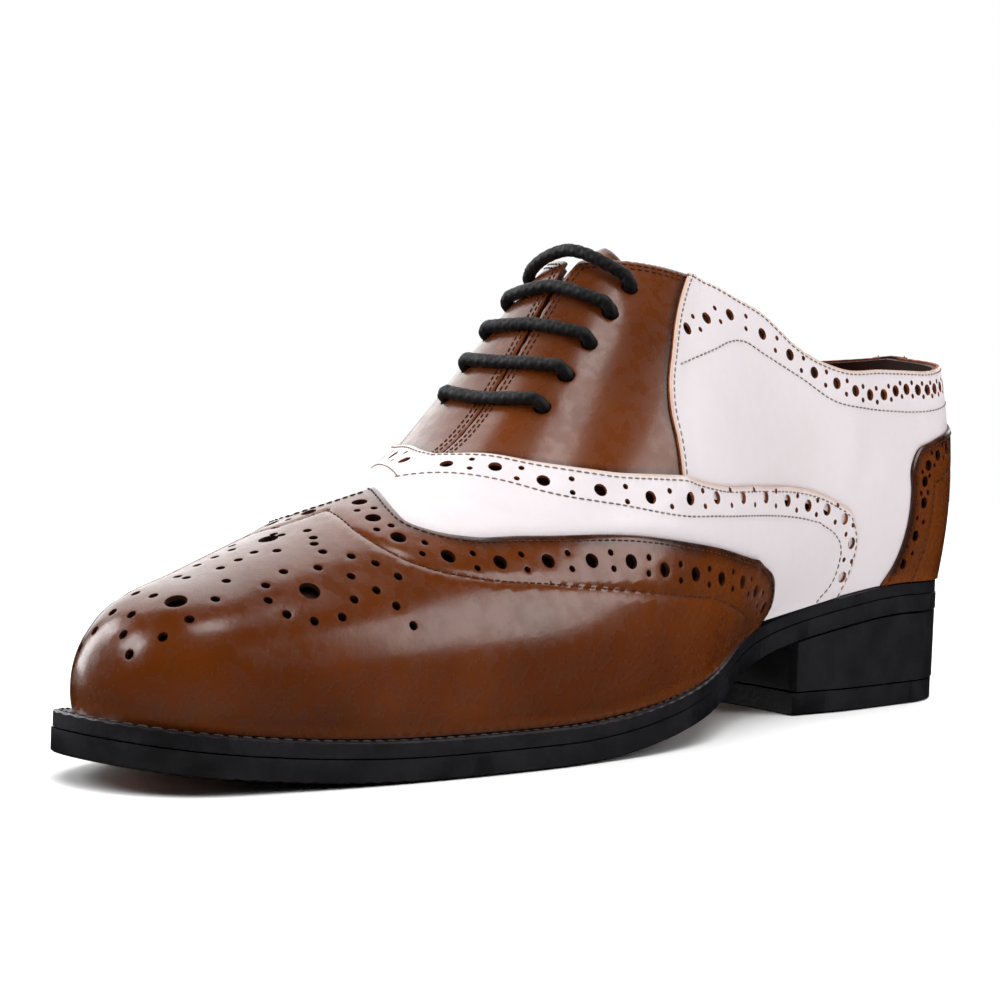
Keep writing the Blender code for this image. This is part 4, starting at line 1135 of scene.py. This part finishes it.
def make_lining():
    """The lining, from the collar and throat down to the welt, one skin all round."""
    places = np.concatenate([np.linspace(0, 0.26, 40), np.linspace(0.265, 0.97, 120),
                             np.linspace(0.974, 1.0, 8)])
    places[np.argmin(np.abs(places - THROAT))] = THROAT
    shares = np.linspace(0, 1, 30)
    throat = int(np.argmin(np.abs(places - THROAT)))
    points, faces = [], []
    rows = len(shares)
    for side in (MEDIAL, LATERAL):
        tops = topline_girth(places, side)
        tops[:throat] -= 0.004
        tops[throat:] = 1.0
        girth = shares[None] * tops[:, None]
        place = places[:, None] + 0 * girth
        for out in LINING_LAYER:
            start = sum(len(p) for p in points)
            flat = np.stack([place.ravel(), ((1 - girth) * side).ravel()], -1)
            points.append(chart_skin("ridge", flat, out)[0])
            for i in range(len(places) - 1):
                for j in range(rows - 1):
                    a = start + i * rows + j
                    faces.append((a, a + rows, a + rows + 1, a + 1))
        half = len(places) * rows
        first = sum(len(p) for p in points) - 2 * half
        for i in range(len(places) - 1):
            for j in ((0, rows - 1) if i < throat else (0,)):
                a = first + i * rows + j
                faces.append((a, a + rows, a + rows + half, a + half))
    points = np.concatenate(points)
    bm = bmesh.new()
    verts = [bm.verts.new(p) for p in points]
    for face in faces:
        bm.faces.new([verts[k] for k in face])
    bmesh.ops.remove_doubles(bm, verts=bm.verts, dist=2e-5)
    bmesh.ops.recalc_face_normals(bm, faces=bm.faces)
    mesh = bpy.data.meshes.new("lining")
    bm.to_mesh(mesh)
    bm.free()
    mesh.materials.append(finish("lining"))
    mesh.shade_smooth()
    mesh.set_sharp_from_angle(angle=radians(50))
    lining = bpy.data.objects.new("lining", mesh)
    bpy.context.collection.objects.link(lining)
    settle(lining, "lining_leather", "upper")


def near_facing(side):
    """How far the leather lifts where it laps over the facing, by distance from its rear edge."""
    line = chart_skin("ridge", fine("ridge", on_ridge(FACING_REAR, side), 0.0008))[0]

    def lifted(_, base):
        away, _ = nearest(base, line)
        return LAP_RISE * ramp(1 - away / LAP_REACH)
    return lifted


def make_quarter(side, name):
    """One white quarter, from the counter to the facing, with its band of holes on top."""
    sizes = bpy.context.scene.wingtip
    chart = "seam"
    places = np.linspace(0.010, 0.50, 260)
    collar = on_seam(np.stack([places, topline_girth(places, side)], -1), side)
    front = fine(chart, on_seam(FACING_REAR, side))
    neck = fine(chart, on_seam(SWAN_NECK, side))
    lap = offset_edge(chart, neck, side * LAP)
    rear = fine(chart, on_seam(COUNTER_EDGE + ((0.026, 0.70),), side))
    under = offset_edge(chart, rear, -side * 0.003)
    under = under[under[:, 0] * side > 0.008]
    foot = overlong(foot_line(chart, side, 0.2, 0.4))
    outline = closed_by([foot, overlong(lap[lap[:, 0] * side < 0.53]), overlong(front), collar,
                         overlong(under)])
    band = fine(chart, on_seam(QUARTER_BAND, side))
    band = band[(np.abs(band[:, 0]) > 0.03) & (np.abs(band[:, 0]) < 0.489)]
    holes = punched_row(chart, on_seam(TOP_HOLES, side), sizes.band_hole, sizes.band_pinhole)
    piece = cut_panel(name, chart, outline, *QUARTER_LAYER,
                      [finish("white calf"), finish("cut edge")], rims=[front, collar], holes=holes,
                      rise=near_facing(side))
    settle(piece, "white_leather")
    rows = [(chart, offset_edge(chart, front, -side * QUARTER_ROW)), (chart, band),
            (chart, offset_edge(chart, collar, side * COLLAR_ROW))]
    stitches(name + "_stitches", "white_leather", piece, rows, "white thread")


def throat_line(side, start=0.44, end=0.632):
    """The facing's free edge: the collar's front, the throat's slit, and on under the vamp."""
    places = np.linspace(start, end, 160)
    narrow = 1 - 0.5 * ramp((places - 0.502) / 0.02)
    girths = np.minimum(1 - (1 - topline_girth(places, side)) * narrow, 1 - 0.0022)
    return on_ridge(np.stack([places, girths], -1), side)


def make_facing(side, name, node):
    """One facing of the throat with its five lace holes."""
    sizes = bpy.context.scene.wingtip
    chart = "ridge"
    rear = fine(chart, on_ridge(FACING_REAR, side))
    under = offset_edge(chart, rear, -side * 0.002)
    neck = neck_line(side)
    lap = offset_edge(chart, neck, side * LAP)
    lap = lap[lap[:, 0] > 0.45]
    free = throat_line(side)
    outline = closed_by([overlong(under, 0.03), free, overlong(lap)])
    holes = [(on_ridge([(p, g)], side)[0], sizes.eyelet) for p, g in zip(LACE_PLACES, LACE_GIRTHS)]
    # rear and neck lie under the edges of the quarter and vamp that lap over the facing: the dark band
    # beside them is partly burnish colour, partly painted shade
    piece = cut_panel(name, chart, outline, *QUARTER_LAYER,
                      [finish("facing calf"), finish("dark cut edge")],
                      rims=[rear, neck[neck[:, 0] > 0.5]], pale=[free], holes=holes,
                      spacing=0.0018, lip=0.0003)
    settle(piece, "tan_leather", node)
    rows = [(chart, offset_edge(chart, free, side * d)) for d in FACING_ROWS]
    stitches(name + "_stitches", "tan_leather", piece, rows, "brown thread")


def wing_row(row, side):
    """Points on a wing: on the lateral side its front reaches further towards the toe."""
    row = np.array(row, float)
    if side == LATERAL:
        front = ramp((row[:, 1] - 0.48) / 0.18) * ramp((1.0 - row[:, 1]) / 0.09)
        row[:, 0] += LATERAL_REACH * front
    return on_ridge(row, side)


def cap_outline():
    """The wing cap's outline: over the ridge, down both sides and round the toe."""
    top = joined(wing_line)
    lateral = foot_line("ridge", LATERAL, 0.404, 1.0)[1:]
    medial = foot_line("ridge", MEDIAL, 0.404, 1.0)[::-1][:-1]
    tip = np.stack([np.ones(9), np.linspace(-1, 1, 11)[1:-1]], -1)
    return np.concatenate([top, lateral, tip, medial])


def make_wing_cap():
    """The cognac toe cap and wings: brogued band, puckered inner seam and medallion."""
    sizes = bpy.context.scene.wingtip
    chart = "ridge"
    holes, grooves, rims, rows = [], [], [], []
    for side in (MEDIAL, LATERAL):
        line = wing_line(side)
        rims.append(line)
        holes += punched_row(chart, wing_row(WING_HOLES, side), sizes.wing_hole, sizes.wing_pinhole)
        inner = fine(chart, wing_row(WING_INNER, side))
        grooves.append((inner, 0.00045, 0.0008))
        rows += [(chart, toeward(line, side, CAP_ROW)), (chart, inner)]
        holes += [(np.array([p, (1 - g) * side]), MEDALLION_HOLE) for p, g in MEDALLION_LARGE]
        holes += [(np.array([p, (1 - g) * side]), MEDALLION_PINHOLE) for p, g in MEDALLION_SMALL]
    holes.append((np.array([0.746, 0.0]), MEDALLION_HOLE))
    foot = np.concatenate([foot_line(chart, MEDIAL, 0.404, 0.999),
                           foot_line(chart, LATERAL, 0.404, 0.999)[::-1]])
    piece = cut_panel("winged_toe_cap", chart, cap_outline(), *CAP_LAYER,
                      [finish("cognac calf"), finish("dark cut edge")], rims=rims, holes=holes,
                      grooves=grooves, foot=foot, spacing=0.0021)
    settle(piece, "tan_leather", "wing_cap")
    stitches("winged_toe_cap_stitches", "tan_leather", piece, rows, "brown thread")


def make_vamp():
    """The white vamp with the swan-neck band of holes; it sinks under the cap."""
    sizes = bpy.context.scene.wingtip
    chart = "ridge"
    rims, holes, rows, half_tops, half_lows = [], [], [], {}, {}
    for side in (MEDIAL, LATERAL):
        neck = neck_line(side)
        rims.append(neck)
        half_tops[side] = neck
        half_lows[side] = toeward(wing_line(side), side, LAP)
        holes += punched_row(chart, on_ridge(VAMP_HOLES, side), sizes.band_hole, sizes.band_pinhole)
        rows += [(chart, toeward(neck, side, VAMP_ROW)),
                 (chart, fine(chart, on_ridge(VAMP_INNER, side)))]
    top = np.concatenate([half_tops[MEDIAL], half_tops[LATERAL][::-1][1:]])
    low = np.concatenate([half_lows[MEDIAL], half_lows[LATERAL][::-1][1:]])
    outline = np.concatenate([top, low[::-1]])
    cap = cap_outline()
    cap_edge = chart_skin(chart, joined(wing_line))[0]
    lifts = [near_facing(side) for side in (MEDIAL, LATERAL)]

    def rise(flat, base):
        away, _ = nearest(base, cap_edge)
        away = np.where(inside(flat, cap), -away, away)
        return lifts[0](flat, base) + lifts[1](flat, base) - SINK * ramp(1 - away / SINK_REACH)

    piece = cut_panel("vamp_leather", chart, outline, *VAMP_LAYER,
                      [finish("white calf"), finish("cut edge")], rims=rims, holes=holes, rise=rise)
    settle(piece, "white_leather", "vamp")
    stitches("vamp_leather_stitches", "white_leather", piece, rows, "white thread")


def make_counter():
    """The cognac counter, with the strip that covers the back seam."""
    sizes = bpy.context.scene.wingtip
    chart = "seam"
    halves, rims, holes, rows, grooves = [], [], [], [], []
    for side in (MEDIAL, LATERAL):
        line = fine(chart, on_seam(COUNTER_EDGE + ((0.026, 0.70),), side))
        places = np.linspace(0.06, 0.0, 30)
        collar = on_seam(np.stack([places, topline_girth(places, side)], -1), side)
        end, corner = meeting(line, collar)
        line = np.concatenate([line[:int(end) + 1], [corner]])
        rims.append(line)
        halves.append(np.concatenate([line, collar[np.abs(collar[:, 0]) < 0.0255]]))
        holes += punched_row(chart, on_seam(COUNTER_HOLES, side), sizes.band_hole, sizes.band_pinhole)
        band = line[np.abs(line[:, 0]) > 0.06]
        inner = parallel(chart, band, -side * COUNTER_BAND)
        rows += [(chart, parallel(chart, line, -side * CAP_ROW)), (chart, inner)]
        grooves.append((inner, 0.0003, 0.0007))
    foot = np.concatenate([foot_line(chart, LATERAL, 0.0, 0.269)[::-1],
                           foot_line(chart, MEDIAL, 0.0, 0.269)[1:]])
    outline = np.concatenate([halves[0], halves[1][::-1][1:], foot[1:-1]])
    piece = cut_panel("heel_counter", chart, outline, *COUNTER_LAYER,
                      [finish("cognac calf"), finish("dark cut edge")], rims=rims, holes=holes,
                      grooves=grooves, foot=foot)
    settle(piece, "tan_leather", "counter")
    stitches("heel_counter_stitches", "tan_leather", piece, rows, "brown thread")


def make_tongue():
    """The tongue, close under the facings."""
    angle = np.linspace(0, pi, 25)
    top = np.stack([0.4955 - 0.0120 * np.sin(angle) ** 0.7, 0.19 * np.cos(angle)], -1)
    outline = np.concatenate([top, [(0.63, -0.19), (0.63, 0.19)]])
    outline = dense("ridge", np.concatenate([outline, outline[:1]]), 0.002)[:-1]
    rim = dense("ridge", top, 0.001)
    piece = cut_panel("tongue_leather", "ridge", outline, *TONGUE_LAYER,
                      [finish("facing calf"), finish("dark cut edge")], rims=[rim])
    settle(piece, "tan_leather", "tongue")


def sole_loop(margin_share, inset, spacing=0.0022, last=1.0):
    """The sole's outline in plan, closed: x and distance from the back."""
    places = np.concatenate([np.linspace(0, 0.25, 160), np.linspace(0.25, last, 220)[1:]])
    medial = np.stack(plan_edge(places, MEDIAL, margin_share, inset), -1)
    lateral = np.stack(plan_edge(places, LATERAL, margin_share, inset), -1)
    loop = np.concatenate([medial, lateral[::-1][1:]])
    return dense("tread", loop, spacing)[:-1]


def around(loop):
    """A closed loop as a line that overlaps itself by one step."""
    return np.concatenate([loop, loop[:2]])


def make_sole():
    """Outsole, welt and insole, each in one piece."""
    outer = sole_loop(1.0, 0.0)
    channel = around(sole_loop(1.0, 0.0055))
    piece = cut_panel("sole", "tread", outer, -OUTSOLE_THICKNESS, 0.0,
                      [finish("sole leather"), finish("edge ink")], rims=[around(outer)],
                      grooves=[(channel, 0.0004, 0.0008)], spacing=0.004, lip=0.0006)
    settle(piece, "sole_leather", "outsole")
    rim = sole_loop(1.0, 0.0003)
    inner = sole_loop(0.0, UPPER_WALL)
    piece = cut_panel("welt_strip", "welt", rim, -WELT_THICKNESS, 0.0,
                      [finish("edge ink")], rims=[around(rim)], cutouts=[inner], spacing=0.003,
                      lip=0.0005)
    settle(piece, "black_edge", "welt")
    row = around(sole_loop(1.0, 0.0017))
    stitches("welt_strip_stitches", "black_edge", piece, [("welt", row)], "welt thread",
             pitch=0.0031, length=0.0024, width=0.0006)
    board = sole_loop(0.0, UPPER_WALL + 0.0006)
    piece = cut_panel("sock_board", "welt", board, -WELT_THICKNESS, INSOLE_THICKNESS - WELT_THICKNESS,
                      [finish("lining")], rims=[around(board)], spacing=0.005)
    settle(piece, "lining_leather", "insole")


def heel_loop(inset):
    """The heel's outline in plan, with its hollowed breast."""
    places = np.linspace(0, acos(1 - 2 * BREAST / LAST_TIP) / pi, 160)
    medial = np.stack(plan_edge(places, MEDIAL, 1.0, inset), -1)
    lateral = np.stack(plan_edge(places, LATERAL, 1.0, inset), -1)
    share = np.linspace(0, 1, 40)[:, None]
    breast = medial[-1] * (1 - share) + lateral[-1] * share
    breast[:, 1] = BREAST - BREAST_BOW * 4 * (share * (1 - share))[:, 0]
    medial = medial[medial[:, 1] < BREAST - 0.001]
    lateral = lateral[lateral[:, 1] < BREAST - 0.001]
    loop = np.concatenate([lateral[::-1], medial[1:], breast, lateral[-1:]])
    return dense("floor", loop, 0.002)[:-1]


def split_by(loop, front, gap):
    """The part of an outline in front of the heel's slanting joint, or behind it."""
    a = np.array([section("medial", 0.0) * BALL_WIDTH, SPLIT_MEDIAL])
    b = np.array([-section("lateral", 0.0) * BALL_WIDTH, SPLIT_LATERAL])
    across = b - a
    normal = np.array([across[1], -across[0]]) / np.linalg.norm(across)
    if normal[1] < 0:
        normal = -normal
    away = (loop - a) @ normal * (1 if front else -1) - gap
    kept = []
    for k in range(len(loop)):
        p, q, d, e = loop[k], loop[(k + 1) % len(loop)], away[k], away[(k + 1) % len(loop)]
        if d >= 0:
            kept.append(p)
        if (d >= 0) != (e >= 0):
            kept.append(p + (q - p) * d / (d - e))
    return np.array(kept)


def make_heel():
    """The stacked heel and its two ground pieces."""
    loop = heel_loop(0.0002)
    piece = cut_panel("stacked_heel", "floor", loop, lambda flat: GAP - lift(flat[:, 1]),
                      -TOP_PIECE - GAP, [finish("edge ink")], rims=[around(loop)], spacing=0.005)
    settle(piece, "black_edge", "heel_stack")
    for name, node, front, looks, slot in (
            ("heel_leather", "heel_top_front", True, "sole leather", "sole_leather"),
            ("heel_rubber", "heel_top_rear", False, "rubber", "black_rubber")):
        half = split_by(heel_loop(0.0005), front, GAP / 2)
        piece = cut_panel(name, "floor", half, -TOP_PIECE, 0.0,
                          [finish(looks), finish("edge ink")], rims=[around(half)], spacing=0.004,
                          lip=0.0005)
        settle(piece, slot, node)


def tube(name, path, radius, sides, surface):
    """A round cord along a path, braided: two families of strands wind round it."""
    path = np.asarray(path)
    tangents = np.gradient(path, axis=0)
    tangents /= np.linalg.norm(tangents, axis=1)[:, None]
    run = lengths(path)
    across = np.cross(tangents[0], (0.0, 0.0, 1.0))
    points = []
    angles = np.arange(sides) * 2 * pi / sides
    for k, (p, t) in enumerate(zip(path, tangents)):
        across = across - t * (across @ t)
        across /= np.linalg.norm(across)
        other = np.cross(t, across)
        turn = run[k] / radius * 0.9
        weave = np.maximum(np.sin(BRAID_STRANDS * (angles + turn)),
                           np.sin(BRAID_STRANDS * (angles - turn)))
        r = radius * (0.93 + 0.07 * weave)[:, None]
        points.append(p + (np.cos(angles)[:, None] * across + np.sin(angles)[:, None] * other) * r)
    faces = []
    for i in range(len(path) - 1):
        for j in range(sides):
            a, b = i * sides + j, i * sides + (j + 1) % sides
            faces.append((a, b, b + sides, a + sides))
    last = (len(path) - 1) * sides
    faces += [tuple(range(sides))[::-1], tuple(range(last, last + sides))]
    return new_piece(name, np.concatenate(points), faces, [surface], angle=80)


def make_laces():
    """One lace: five bars over the throat, run on under the facings, its ends inside at the top."""
    radius = bpy.context.scene.wingtip.lace_width / 2
    rest = 0.0006 + radius

    def over(p, g, side, out):
        return chart_skin("ridge", np.array([[p, (1 - g) * side]]), out)[0][0]

    def hole(row, side, out):
        return over(LACE_PLACES[row], LACE_GIRTHS[row], side, out)

    def bar(row, first):
        p, g = LACE_PLACES[row], LACE_GIRTHS[row]
        points = [hole(row, first, -0.0012), hole(row, first, rest * 0.55)]
        for share in np.linspace(-0.94, 0.94, 13):
            side = first if share <= 0 else -first
            at = 1 - abs(share) * (1 - g) * 0.93
            out = rest + LACE_ARCHES[row] * (1 - share * share)
            points.append(over(p + LACE_SAG * (1 - share * share), at, side, out))
        return points + [hole(row, -first, rest * 0.55), hole(row, -first, -0.0012)]

    def under(row, to_row, side):
        rows = np.linspace(row, to_row, 4 if to_row != row else 2)
        points = []
        for r in rows:
            p = np.interp(r, range(5), LACE_PLACES)
            g = np.interp(r, range(5), LACE_GIRTHS)
            points.append(over(p, g, side, LACE_UNDER))
        return points

    # From the end under the top medial hole: rows are counted from the toe
    route = [hole(4, LATERAL, -0.0036)]
    route += under(4, 3, LATERAL)[1:] + bar(3, LATERAL) + under(3, 1, MEDIAL)
    route += bar(1, MEDIAL) + under(1, 0, LATERAL) + bar(0, LATERAL) + under(0, 2, MEDIAL)
    route += bar(2, MEDIAL) + under(2, 4, LATERAL) + bar(4, LATERAL)
    route += [hole(4, MEDIAL, LACE_UNDER), hole(4, MEDIAL, -0.0036) + np.array([0, 0.003, 0])]
    route = np.array(route)
    keep = np.r_[True, np.linalg.norm(np.diff(route, axis=0), axis=1) > 1e-4]
    route = route[keep]
    run = lengths(route)
    samples = np.arange(0, run[-1], LACE_STEP)
    path = np.stack([through(list(zip(run, route[:, k])), samples) for k in range(3)], -1)
    lace = tube("shoelace", path, radius, 20, finish("lace"))
    settle(lace, "black_lace", *["lace_bar_%d" % k for k in range(1, 6)])


# Stage: the camera as the photograph was taken, its roll in degrees
CAMERA_PLACE = (0.38666, -0.41854, 0.08106)
CAMERA_AIM = (-0.00815, -0.01433, 0.05656)
CAMERA_ROLL = -2.263
CAMERA_LENS = 80.27
# The floor lies a hair under the sole, so that the two don't share a plane
FLOOR_HALF = 1.5
FLOOR_HEIGHT = -0.0002
# The ceiling's softness and tilt, in degrees
CEILING_SPAN = 70
CEILING_TILT = (6, 8)
# Strength of the wide soft light overhead, in watts to the square metre
CEILING = 3.1
# Lights: name, place, aim, width and height, watts
LIGHTS = (
    ("left", (-1.25, -0.55, 0.50), (0.0, -0.12, 0.05), (0.45, 0.9), 7.5),
    ("front", (-0.65, -1.25, 1.00), (0.0, -0.12, 0.05), (0.6, 0.5), 7.0),
    ("backdrop", (-1.50, 1.50, 1.65), (0.0, 0.0, 0.20), (4.4, 3.2), 75.0),
    ("right", (1.45, 1.00, 0.90), (0.0, 0.05, 0.05), (1.0, 1.0), 10.0),
    ("over", (0.35, -0.10, 1.30), (0.0, -0.02, 0.08), (0.5, 0.35), 2.5),
)


def make_stage():
    """Pale floor, soft studio light, and the camera at the photograph's angle to the shoe."""
    mesh = bpy.data.meshes.new("floor")
    corners = [(x * FLOOR_HALF, y * FLOOR_HALF, FLOOR_HEIGHT)
               for x, y in ((-1, -1), (1, -1), (1, 1), (-1, 1))]
    mesh.from_pydata(corners, [], [(0, 1, 2, 3)])
    # Plain white, so that only the shoe's own shadow shows
    material, _, shader = blank("matt_white_paper")
    shader.inputs["Base Color"].default_value = colour("#ffffff")
    shader.inputs["Roughness"].default_value = 0.9
    shader.inputs["Specular IOR Level"].default_value = 0.1
    mesh.materials.append(material)
    floor = bpy.data.objects.new("floor", mesh)
    bpy.context.collection.objects.link(floor)
    floor.visible_glossy = False
    scene = bpy.context.scene
    world = bpy.data.worlds.new("studio")
    scene.world = world
    world.use_nodes = True
    sky = world.node_tree.nodes["Background"]
    sky.inputs["Color"].default_value = (1.0, 1.0, 1.0, 1.0)
    # Only the camera sees the white room: the shoe is lit by the lamps
    seen = world.cycles_visibility
    seen.diffuse = seen.glossy = seen.transmission = seen.scatter = False
    sun = bpy.data.lights.new("ceiling", "SUN")
    sun.energy = CEILING
    sun.angle = radians(CEILING_SPAN)
    ceiling = bpy.data.objects.new("ceiling", sun)
    ceiling.rotation_euler = (*(radians(tilt) for tilt in CEILING_TILT), 0.0)
    ceiling.visible_glossy = False
    bpy.context.collection.objects.link(ceiling)
    for name, place, aim, size, power in LIGHTS:
        data = bpy.data.lights.new(name, "AREA")
        data.shape = "RECTANGLE"
        data.size, data.size_y = size
        data.energy = power
        lamp = bpy.data.objects.new(name, data)
        bpy.context.collection.objects.link(lamp)
        towards = Vector(aim) - Vector(place)
        turn = towards.to_track_quat("-Z", "Y").to_matrix().to_4x4()
        lamp.matrix_world = Matrix.Translation(place) @ turn
    place, aim = Vector(CAMERA_PLACE), Vector(CAMERA_AIM)
    forward = (aim - place).normalized()
    right = forward.cross(Vector((0, 0, 1))).normalized()
    up = right.cross(forward)
    roll = radians(CAMERA_ROLL)
    leaned = up * np.cos(roll) + right * np.sin(roll)
    right = forward.cross(leaned)
    turn = Matrix((right, leaned, -forward)).transposed().to_4x4()
    data = bpy.data.cameras.new("camera")
    data.lens = CAMERA_LENS
    data.sensor_width = 36.0
    data.clip_start = 0.01
    camera = bpy.data.objects.new("camera", data)
    bpy.context.collection.objects.link(camera)
    camera.matrix_world = Matrix.Translation(place) @ turn
    scene.camera = camera
    scene.view_settings.view_transform = "Standard"


class WingtipSettings(bpy.types.PropertyGroup):
    # Also the tone of the painted sheen along the welt
    cognac_light: bpy.props.FloatVectorProperty(
        name="Cognac, light", description="Lighter clouds of the cognac calf",
        subtype="COLOR", size=4, min=0.0, max=1.0, default=colour("#6d340c"))
    cognac: bpy.props.FloatVectorProperty(
        name="Cognac", description="Body colour of the cognac calf",
        subtype="COLOR", size=4, min=0.0, max=1.0, default=colour("#502204"))
    # Also the colour of the painted shade beside the panels that lap over the facings
    cognac_dark: bpy.props.FloatVectorProperty(
        name="Cognac, burnished", description="Colour of the burnished edges",
        subtype="COLOR", size=4, min=0.0, max=1.0, default=colour("#1d0b07"))
    white: bpy.props.FloatVectorProperty(
        name="White", description="Body colour of the white calf",
        subtype="COLOR", size=4, min=0.0, max=1.0, default=colour("#dcd5d9"))
    white_shade: bpy.props.FloatVectorProperty(
        name="White, shaded", description="Second tone of the white calf",
        subtype="COLOR", size=4, min=0.0, max=1.0, default=colour("#d5cdd0"))
    white_edge: bpy.props.FloatVectorProperty(
        name="White, edge", description="Colour of the white calf along worn edges",
        subtype="COLOR", size=4, min=0.0, max=1.0, default=colour("#c9a892"))
    wing_hole: bpy.props.FloatProperty(
        name="Wing holes", description="Diameter of the large holes on the wing cap",
        unit="LENGTH", precision=5, min=0.002, max=0.005, default=0.0036)
    wing_pinhole: bpy.props.FloatProperty(
        name="Wing pinholes", description="Diameter of the pinholes on the wing cap",
        unit="LENGTH", precision=5, min=0.001, max=0.0025, default=0.0017)
    band_hole: bpy.props.FloatProperty(
        name="Band holes", description="Diameter of the large holes on the other bands",
        unit="LENGTH", precision=5, min=0.002, max=0.005, default=0.0033)
    band_pinhole: bpy.props.FloatProperty(
        name="Band pinholes", description="Diameter of the pinholes on the other bands",
        unit="LENGTH", precision=5, min=0.001, max=0.0025, default=0.0015)
    eyelet: bpy.props.FloatProperty(
        name="Lace holes", description="Diameter of the punched lace holes",
        unit="LENGTH", precision=5, min=0.004, max=0.006, default=0.0044)
    stitch_pitch: bpy.props.FloatProperty(
        name="Stitch pitch", description="From one stitch to the next",
        unit="LENGTH", precision=5, min=0.0015, max=0.004, default=0.0019)
    stitch_length: bpy.props.FloatProperty(
        name="Stitch length", description="Length of thread that shows",
        unit="LENGTH", precision=5, min=0.001, max=0.003, default=0.0015)
    thread_width: bpy.props.FloatProperty(
        name="Thread", description="Width of the sewing thread",
        unit="LENGTH", precision=5, min=0.0003, max=0.0008, default=0.00045)
    lace_width: bpy.props.FloatProperty(
        name="Lace", description="Diameter of the round lace",
        unit="LENGTH", precision=5, min=0.002, max=0.004, default=0.0034)


class WINGTIP_OT_lining(bpy.types.Operator):
    """Build the dark calf lining"""
    bl_idname = "wingtip.lining"
    bl_label = "Lining"

    def execute(self, context):
        make_lining()
        return {"FINISHED"}


class WINGTIP_OT_quarters(bpy.types.Operator):
    """Build the two white quarters"""
    bl_idname = "wingtip.quarters"
    bl_label = "Quarters"

    def execute(self, context):
        make_quarter(MEDIAL, "quarter_medial")
        make_quarter(LATERAL, "quarter_lateral")
        return {"FINISHED"}


class WINGTIP_OT_facings(bpy.types.Operator):
    """Build the facings with their lace holes"""
    bl_idname = "wingtip.facings"
    bl_label = "Facings"

    def execute(self, context):
        make_facing(MEDIAL, "eyestay_medial", "facing_medial")
        make_facing(LATERAL, "eyestay_lateral", "facing_lateral")
        return {"FINISHED"}


class WINGTIP_OT_vamp(bpy.types.Operator):
    """Build the white vamp"""
    bl_idname = "wingtip.vamp"
    bl_label = "Vamp"

    def execute(self, context):
        make_vamp()
        return {"FINISHED"}


class WINGTIP_OT_wing_cap(bpy.types.Operator):
    """Build the wing cap with its medallion"""
    bl_idname = "wingtip.wing_cap"
    bl_label = "Wing cap"

    def execute(self, context):
        make_wing_cap()
        return {"FINISHED"}


class WINGTIP_OT_counter(bpy.types.Operator):
    """Build the heel counter and back strip"""
    bl_idname = "wingtip.counter"
    bl_label = "Counter"

    def execute(self, context):
        make_counter()
        return {"FINISHED"}


class WINGTIP_OT_tongue(bpy.types.Operator):
    """Build the tongue"""
    bl_idname = "wingtip.tongue"
    bl_label = "Tongue"

    def execute(self, context):
        make_tongue()
        return {"FINISHED"}


class WINGTIP_OT_sole(bpy.types.Operator):
    """Build the outsole, welt and insole"""
    bl_idname = "wingtip.sole"
    bl_label = "Sole and welt"

    def execute(self, context):
        make_sole()
        return {"FINISHED"}


class WINGTIP_OT_heel(bpy.types.Operator):
    """Build the stacked heel"""
    bl_idname = "wingtip.heel"
    bl_label = "Heel"

    def execute(self, context):
        make_heel()
        return {"FINISHED"}


class WINGTIP_OT_laces(bpy.types.Operator):
    """Run the lace through its holes"""
    bl_idname = "wingtip.laces"
    bl_label = "Lace"

    def execute(self, context):
        make_laces()
        return {"FINISHED"}


class WINGTIP_OT_stage(bpy.types.Operator):
    """Set the floor, lights and camera"""
    bl_idname = "wingtip.stage"
    bl_label = "Stage"

    def execute(self, context):
        make_stage()
        return {"FINISHED"}


OPERATORS = (WINGTIP_OT_stage, WINGTIP_OT_lining, WINGTIP_OT_quarters, WINGTIP_OT_facings,
             WINGTIP_OT_vamp, WINGTIP_OT_wing_cap, WINGTIP_OT_counter, WINGTIP_OT_tongue,
             WINGTIP_OT_sole, WINGTIP_OT_heel, WINGTIP_OT_laces)


class WINGTIP_PT_panel(bpy.types.Panel):
    """Lists the shoe's pieces and colours"""
    bl_idname = "WINGTIP_PT_panel"
    bl_label = "Wingtip Oxford"
    bl_space_type = "VIEW_3D"
    bl_region_type = "UI"
    bl_category = "Shoe"

    def draw(self, context):
        settings = context.scene.wingtip
        for key in settings.bl_rna.properties.keys():
            if key not in ("rna_type", "name"):
                self.layout.prop(settings, key)
        for operator in OPERATORS:
            self.layout.operator(operator.bl_idname)


def register():
    """Make the settings, operators and panel known to Blender."""
    for cls in (WingtipSettings, WINGTIP_PT_panel) + OPERATORS:
        bpy.utils.register_class(cls)
    bpy.types.Scene.wingtip = bpy.props.PointerProperty(type=WingtipSettings)


def unregister():
    """Take them away again."""
    del bpy.types.Scene.wingtip
    for cls in reversed((WingtipSettings, WINGTIP_PT_panel) + OPERATORS):
        bpy.utils.unregister_class(cls)


def main():
    """Build the stage and every piece."""
    register()
    bpy.ops.wingtip.stage()
    bpy.ops.wingtip.lining()
    bpy.ops.wingtip.quarters()
    bpy.ops.wingtip.facings()
    bpy.ops.wingtip.vamp()
    bpy.ops.wingtip.wing_cap()
    bpy.ops.wingtip.counter()
    bpy.ops.wingtip.tongue()
    bpy.ops.wingtip.sole()
    bpy.ops.wingtip.heel()
    bpy.ops.wingtip.laces()


if __name__ == "__main__":
    main()
